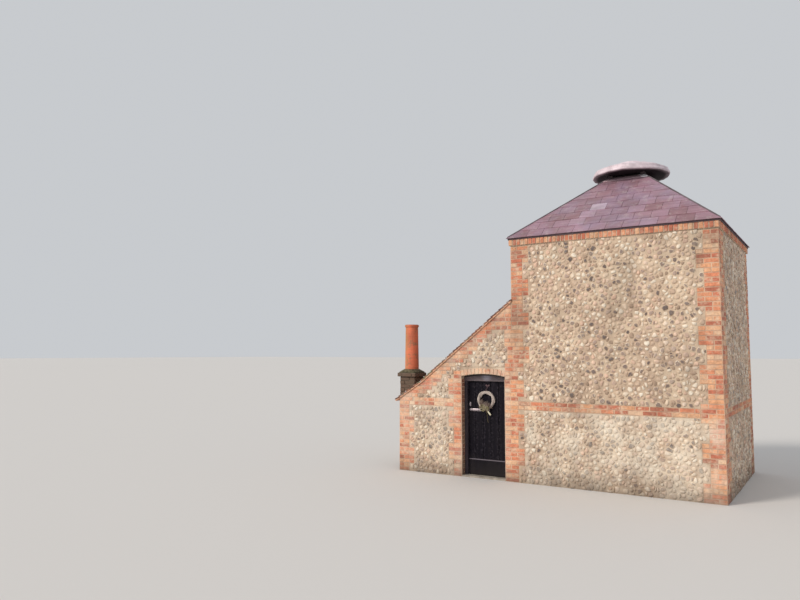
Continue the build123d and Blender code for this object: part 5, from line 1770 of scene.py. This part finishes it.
bar_y = leaf_low.y - BOLT_PLATE - BAR_OUT
bar = rod((bolt_low.x, bar_y, bolt_z), (bolt_high.x, bar_y, bolt_z), BAR_RADIUS)
handle_x = bolt_low.x + HANDLE_FROM_END
handle_end = (handle_x, bar_y - HANDLE_REACH[0], bolt_z - HANDLE_REACH[1])
handle = rod((handle_x, bar_y, bolt_z), handle_end, HANDLE_RADIUS)
bolt_bar = add_mesh("bolt_bar", np.array([bar, handle]), zinc, wrap=True)
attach(bolt_bar, "door")

# Straps: a half round over the bar with a foot at each end, as one outline up and down the door
turn = np.linspace(0, math.pi, 9)
outer = np.stack([np.cos(turn) * STRAP_ROUND[0], -np.sin(turn) * STRAP_ROUND[1]], 1)
inner = outer[::-1] * STRAP_INSIDE
upper_foot = [(STRAP_FOOT, STRAP_THICK), (STRAP_FOOT, 0)]
lower_foot = [(-STRAP_FOOT, 0), (-STRAP_FOOT, STRAP_THICK)]
loop = np.vstack([upper_foot, outer, lower_foot, inner])
loop_y = leaf_low.y - BOLT_PLATE + loop[:, 1]
straps = []
for x in (bolt_low.x + STRAPS_FROM_ENDS[0], bolt_high.x - STRAPS_FROM_ENDS[1]):
    ring = np.stack([np.zeros(len(loop)), loop_y, bolt_z + loop[:, 0]], 1)
    straps.append(np.stack([ring + (x - STRAP_WIDTH / 2, 0, 0), ring + (x + STRAP_WIDTH / 2, 0, 0)]))
bolt_straps = add_mesh("bolt_straps", np.array(straps), zinc, wrap=True, smooth=False)
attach(bolt_straps, "door")

knob_low, knob_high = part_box("door_knob")
knob_x, knob_z = (knob_low.x + knob_high.x) / 2, (knob_low.z + knob_high.z) / 2
knob_profile = np.array([
    (0.0115, -0.0024), (0.0125, -0.004), (0.008, -0.006), (0.0075, -0.010), (0.011, -0.013),
    (KNOB_RADIUS, -0.018), (KNOB_RADIUS * 0.93, -0.022), (KNOB_RADIUS * 0.6, -0.0255), (0.002, -0.026),
])
points, _ = turned(knob_profile, (0, 0), KNOB_SIDES)
points = np.stack([knob_x + points[..., 0], leaf_low.y + points[..., 2], knob_z + points[..., 1]], -1)
knob = add_mesh("turned_knob", points, zinc, wrap=True)
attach(knob, "door")

turn = ring_angles(KNOB_PLATE_SIDES)
half_wide = (knob_high.x - knob_low.x) / 2
half_high = (knob_high.z - knob_low.z) / 2
plate_x = np.clip(KNOB_RADIUS * KNOB_OVAL[0] * np.cos(turn), -half_wide, half_wide)
plate_z = np.clip(half_high * KNOB_OVAL[1] * np.sin(turn), -half_high, half_high)
plate_steps = np.array(KNOB_PLATE_STEPS)
x = knob_x - plate_x * plate_steps[:, :1]
z = knob_z + plate_z * plate_steps[:, :1]
y = np.broadcast_to(leaf_low.y + plate_steps[:, 1:], x.shape)
knob_plate = add_mesh("knob_plate", np.stack([x, y, z], -1)[None], zinc, wrap=True)
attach(knob_plate, "door")
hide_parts("door_knob")


# Wreath
# Peeled twigs wound round one another into a ring and tied at the foot with a raffia bow; the
# twigs are pale over the top and brown where dried sprigs are tucked in at the foot.
TWIG_STRANDS = 56
TWIG_STEPS = 72
TWIG_SIDES = 6
TWIG_RADIUS = 0.0042
TWIG_WIDTHS = (0.6, 1.25)
TWIG_ARCS = (3.2, 6.4)
TWIG_WINDS = (1.2, 3.4)
TWIG_WIND_STARTS = 6.28
TWIG_DEPTHS = (0.2, 0.92)
TWIG_FLAT = 0.9
TWIG_SWELL = 0.08
RING_OUT = 0.1
BROWN_ASIDE = 0.05
BROWN_BELOW = 0.90
BROWN_FROM = 0.50
BROWN_REACH = 0.45
END_TAPER = 0.35
TUBE_FRONT = (0.05, -1.0, 0.03)
TWIG_BROWNS = (0.5, 1.0)
TWIG_STAINS = (0, 0.25)
TWIG_PALE = (0.70, 0.61, 0.55, 1)
TWIG_BROWN = (0.13, 0.08, 0.06, 1)
RAFFIA_OLIVE = (0.17, 0.135, 0.052, 1)
RAFFIA_PALE = (0.82, 0.76, 0.56, 1)
LOOP_BROWN = (0.17, 0.10, 0.12, 1)
SPRIGS = 210
SPRIG_RADIUS = 0.0032
SPRIG_LENGTHS = (0.03, 0.075)
SPRIG_BASES = (-0.6, 0.9)
SPRIG_OUTS = (0.3, 1.0)
SPRIG_BROWNS = (0.75, 1)
SPRIG_REACH = 0.8
SPRIG_LEAN = 0.6
SPRIG_STEPS = 7
SPRIG_SIDES = 5
SPRIG_CURL = 0.010
SPRIG_CURL_TURN = 2.2
SPRIG_ENDS = 0.4
SPRIG_SLENDER = 1.2
INNER_TURN = 0.1
INNER_LONGER = 0.8
RIBBON_THICK = 0.0016
LOOP_WIDTH = 0.011
LOOP_SWELL = 0.012
LOOP_PALER = 0.12
KNOT_ASIDE = 0.012
KNOT_OUT = 0.004
KNOT_BELOW = 1.02
KNOT_WIDTH = 0.026
KNOT_ROUND = 0.009
KNOT_SLANT = 0.004
KNOT_PALE = 0.7
TAIL_WAVE = 0.005
TAIL_BACK = 0.030
TAIL_CLEAR = 0.004
LOOP_NAIL = (0.025, -0.010, 0.085)
LOOP_NAIL_REACH = (0, -0.018, 0.003)
LOOP_NAIL_RADIUS = 0.004
LOOP_INSIDE = 0.012
STRAND_WIDTH = 0.004
STRAND_BEND = 0.010
EAR_WIDTH = 0.012
EAR_REACH = (0.036, 0.014)
EAR_OPEN = 0.010
EAR_OUT = 0.004
LOOP_SHADE = 0.95

twig, tree, shader, where = blank_finish("peeled_twig", 0.85)
colour = mix_colours(tree, mark(tree, "brown"), TWIG_PALE, TWIG_BROWN)
flecks = spread(tree, noise(tree, where, 120.0, 4.0), 0.3, 0.7, 0.7, 1.2)
coloured(tree, shader, toned(tree, colour, flecks))
roughen(tree, shader, noise(tree, where, 200.0), 0.5, 0.001)

wreath_low, wreath_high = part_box("wreath")
wreath_at = (wreath_low + wreath_high) / 2
ring_radius = (wreath_high.x - wreath_low.x) / 2 - (wreath_high.y - wreath_low.y) / 2
ring_thick = (wreath_high.y - wreath_low.y) / 2
rng = np.random.default_rng(120)


def tubes(paths, radius, sides):
    """Round tubes along paths: at each point a ring of sides across the path, drawn in at both ends.

    paths is tubes x steps x 3. The ring's plane is square to the path, worked out from its tangent
    and a vector that leans out of the door.
    """
    tangent = np.gradient(paths, axis=1)
    tangent /= np.linalg.norm(tangent, axis=-1, keepdims=True)
    aside = np.cross(tangent, TUBE_FRONT)
    aside /= np.linalg.norm(aside, axis=-1, keepdims=True)
    above = np.cross(tangent, aside)
    angle = ring_angles(sides)
    ring = np.cos(angle)[:, None] * aside[:, :, None] + np.sin(angle)[:, None] * above[:, :, None]
    taper = np.ones(paths.shape[1])
    taper[[0, -1]] = END_TAPER
    radius = np.broadcast_to(radius, paths.shape[:2]) * taper
    return paths[:, :, None] + radius[..., None, None] * ring


along = np.linspace(0, 1, TWIG_STEPS)
begin = rng.random((TWIG_STRANDS, 1)) * 2 * np.pi
arc = begin + along * rng.uniform(*TWIG_ARCS, (TWIG_STRANDS, 1))
wind = rng.uniform(*TWIG_WINDS, (TWIG_STRANDS, 1)) * arc
wind = wind + rng.random((TWIG_STRANDS, 1)) * TWIG_WIND_STARTS
deep = ring_thick * rng.uniform(*TWIG_DEPTHS, (TWIG_STRANDS, 1)) * (1 + TWIG_SWELL * np.sin(5 * arc))
reach = ring_radius + ring_thick * RING_OUT + deep * np.cos(wind)
x = wreath_at.x + reach * np.sin(arc)
y = wreath_at.y + deep * TWIG_FLAT * np.sin(wind)
paths = np.stack([x, y, wreath_at.z + reach * np.cos(arc)], -1)
radius = TWIG_RADIUS * rng.uniform(*TWIG_WIDTHS, (TWIG_STRANDS, 1))
points = tubes(paths, radius, TWIG_SIDES)
below = BROWN_ASIDE * np.sin(arc) - BROWN_BELOW * np.cos(arc)
foot_share = np.clip((below - BROWN_FROM) / BROWN_REACH, 0, 1)
foot_share = foot_share * rng.uniform(*TWIG_BROWNS, (TWIG_STRANDS, 1))
foot_share = foot_share + rng.uniform(*TWIG_STAINS, (TWIG_STRANDS, 1))
browned = np.broadcast_to(foot_share[..., None], points.shape[:3])
twig_ring = add_mesh("twig_ring", points, twig, wrap=True, brown=browned)
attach(twig_ring, "door")
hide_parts("wreath")

# Sprigs: three in four lie towards the ring's middle, the others along it and outward
inner = (np.arange(SPRIGS) % 4 > 0)[:, None] * 1.0
start = rng.uniform(math.pi - SPRIG_REACH, math.pi + SPRIG_REACH, (SPRIGS, 1))
start = start * (1 + INNER_TURN * inner)
lean = rng.normal(0, SPRIG_LEAN, (SPRIGS, 1)) + start + inner * math.pi
length = rng.uniform(*SPRIG_LENGTHS, (SPRIGS, 1)) * (1 + INNER_LONGER * inner)
step = np.linspace(0, 1, SPRIG_STEPS)
base = ring_radius + rng.uniform(*SPRIG_BASES, (SPRIGS, 1)) * ring_thick * (1 - inner)
reach_x = base * np.sin(start) + step * length * np.sin(lean)
reach_z = base * np.cos(start) + step * length * np.cos(lean)
curl = SPRIG_CURL * np.sin(step * SPRIG_CURL_TURN)
out = -ring_thick * rng.uniform(*SPRIG_OUTS, (SPRIGS, 1)) - curl
paths = np.stack([wreath_at.x + reach_x, wreath_at.y + out, wreath_at.z + reach_z], -1)
leaf_radius = SPRIG_RADIUS * (SPRIG_ENDS + np.sin(step * math.pi) ** SPRIG_SLENDER)
leaves = tubes(paths, leaf_radius, SPRIG_SIDES)
browned = rng.uniform(*SPRIG_BROWNS, SPRIGS)
sprigs = add_mesh("dried_sprigs", leaves, twig, wrap=True, brown=browned)
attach(sprigs, "door")

raffia, tree, shader, where = blank_finish("raffia", 0.8)
flecks = spread(tree, noise(tree, stretched(tree, where, (60.0, 60.0, 12.0)), 1.0), 0.3, 0.7, 0.7, 1.2)
colour = mix_colours(tree, mark(tree, "pale"), RAFFIA_OLIVE, RAFFIA_PALE)
colour = mix_colours(tree, mark(tree, "brown"), colour, LOOP_BROWN)
coloured(tree, shader, toned(tree, colour, flecks))


def ribbon(path, width, normal=(0.0, -1.0, 0.0)):
    """A flat strip along a path: four corners at each point, square to the path."""
    path = np.asarray(path, float)
    tangent = np.gradient(path, axis=0)
    tangent /= np.linalg.norm(tangent, axis=-1, keepdims=True)
    aside = np.cross(tangent, normal)
    aside /= np.linalg.norm(aside, axis=-1, keepdims=True)
    above = np.cross(tangent, aside)
    corners = np.array([(-1, -1), (1, -1), (1, 1), (-1, 1)]) / 2
    ring = corners[:, :1] * width * aside[:, None] + corners[:, 1:] * RIBBON_THICK * above[:, None]
    return path[:, None] + ring


# Bow: loops of olive raffia from one knot, most of them to the left, and two tails. A loop is given
# by its angle in degrees, length and half width, a tail by its reach aside and down, width and tone.
BOW_LOOPS = (
    (172, 0.125, 0.020), (196, 0.115, 0.022), (150, 0.110, 0.020), (218, 0.085, 0.018),
    (126, 0.075, 0.016), (12, 0.060, 0.016), (-24, 0.055, 0.014), (48, 0.050, 0.014),
)
BOW_TAILS = ((0.085, -0.125, 0.030, 1.0), (0.035, -0.27, 0.005, 0.0))
knot_z = wreath_at.z - ring_radius * KNOT_BELOW
knot = np.array([wreath_at.x + KNOT_ASIDE, wreath_low.y - KNOT_OUT, knot_z])
t = np.linspace(0, 1, 16)
out_and_back = np.sin(math.pi * t)[:, None]
strips, pale = [], []
for angle, length, half in BOW_LOOPS:
    way = np.array([math.cos(math.radians(angle)), 0, math.sin(math.radians(angle))])
    aside = np.array([-way[2], 0, way[0]])
    swell = np.array([0, -LOOP_SWELL, 0]) * out_and_back
    path = knot + way * length * out_and_back + aside * half * np.sin(2 * math.pi * t)[:, None]
    strips.append(ribbon(path + swell, LOOP_WIDTH))
    pale.append(LOOP_PALER * (len(strips) % 3))
for reach_x, reach_z, width, tone in BOW_TAILS:
    tail_x = knot[0] + reach_x * t + TAIL_WAVE * np.sin(6 * t)
    tail_y = np.minimum(knot[1] + TAIL_BACK * t, leaf_low.y - TAIL_CLEAR)
    strips.append(ribbon(np.stack([tail_x, tail_y, knot[2] + reach_z * t], -1), width))
    pale.append(tone)
around = 2 * np.pi * t
wrapped_y = -KNOT_ROUND * np.sin(around) - KNOT_OUT
wrapped = [KNOT_ROUND * np.cos(around), wrapped_y, KNOT_SLANT * np.sin(around)]
strips.append(ribbon(knot + np.stack(wrapped, -1), KNOT_WIDTH, UPRIGHT))
pale.append(KNOT_PALE)
bow = add_mesh("raffia_bow", np.array(strips), raffia, wrap=True, pale=np.array(pale))
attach(bow, "door")

# Hanging loop: two strands from the ring's top up to a knotted nail
nail_at = np.array([wreath_at.x, leaf_low.y, wreath_high.z]) + LOOP_NAIL
top_at = np.array([wreath_at.x, wreath_low.y + LOOP_INSIDE, wreath_high.z - LOOP_INSIDE])
strands = []
for side in (-1, 1):
    bend = np.array([side * STRAND_BEND, 0, 0]) * out_and_back
    strands.append(ribbon(nail_at + (top_at - nail_at) * t[:, None] + bend, STRAND_WIDTH))
    way = np.array([side * EAR_REACH[0], 0, EAR_REACH[1]])
    ear = nail_at + way * out_and_back + (0, 0, EAR_OPEN) * np.sin(2 * math.pi * t)[:, None]
    strands.append(ribbon(ear - (0, EAR_OUT, 0) * out_and_back, EAR_WIDTH))
hanger = add_mesh("hanging_loop", np.array(strands), raffia, wrap=True, brown=LOOP_SHADE)
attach(hanger, "door")
nail_foot = np.array([nail_at[0], leaf_low.y, nail_at[2]])
nail_shaft = rod(nail_foot, nail_foot + LOOP_NAIL_REACH, LOOP_NAIL_RADIUS)
hanging_nail = add_mesh("hanging_nail", nail_shaft[None], iron, wrap=True)
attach(hanging_nail, "door")
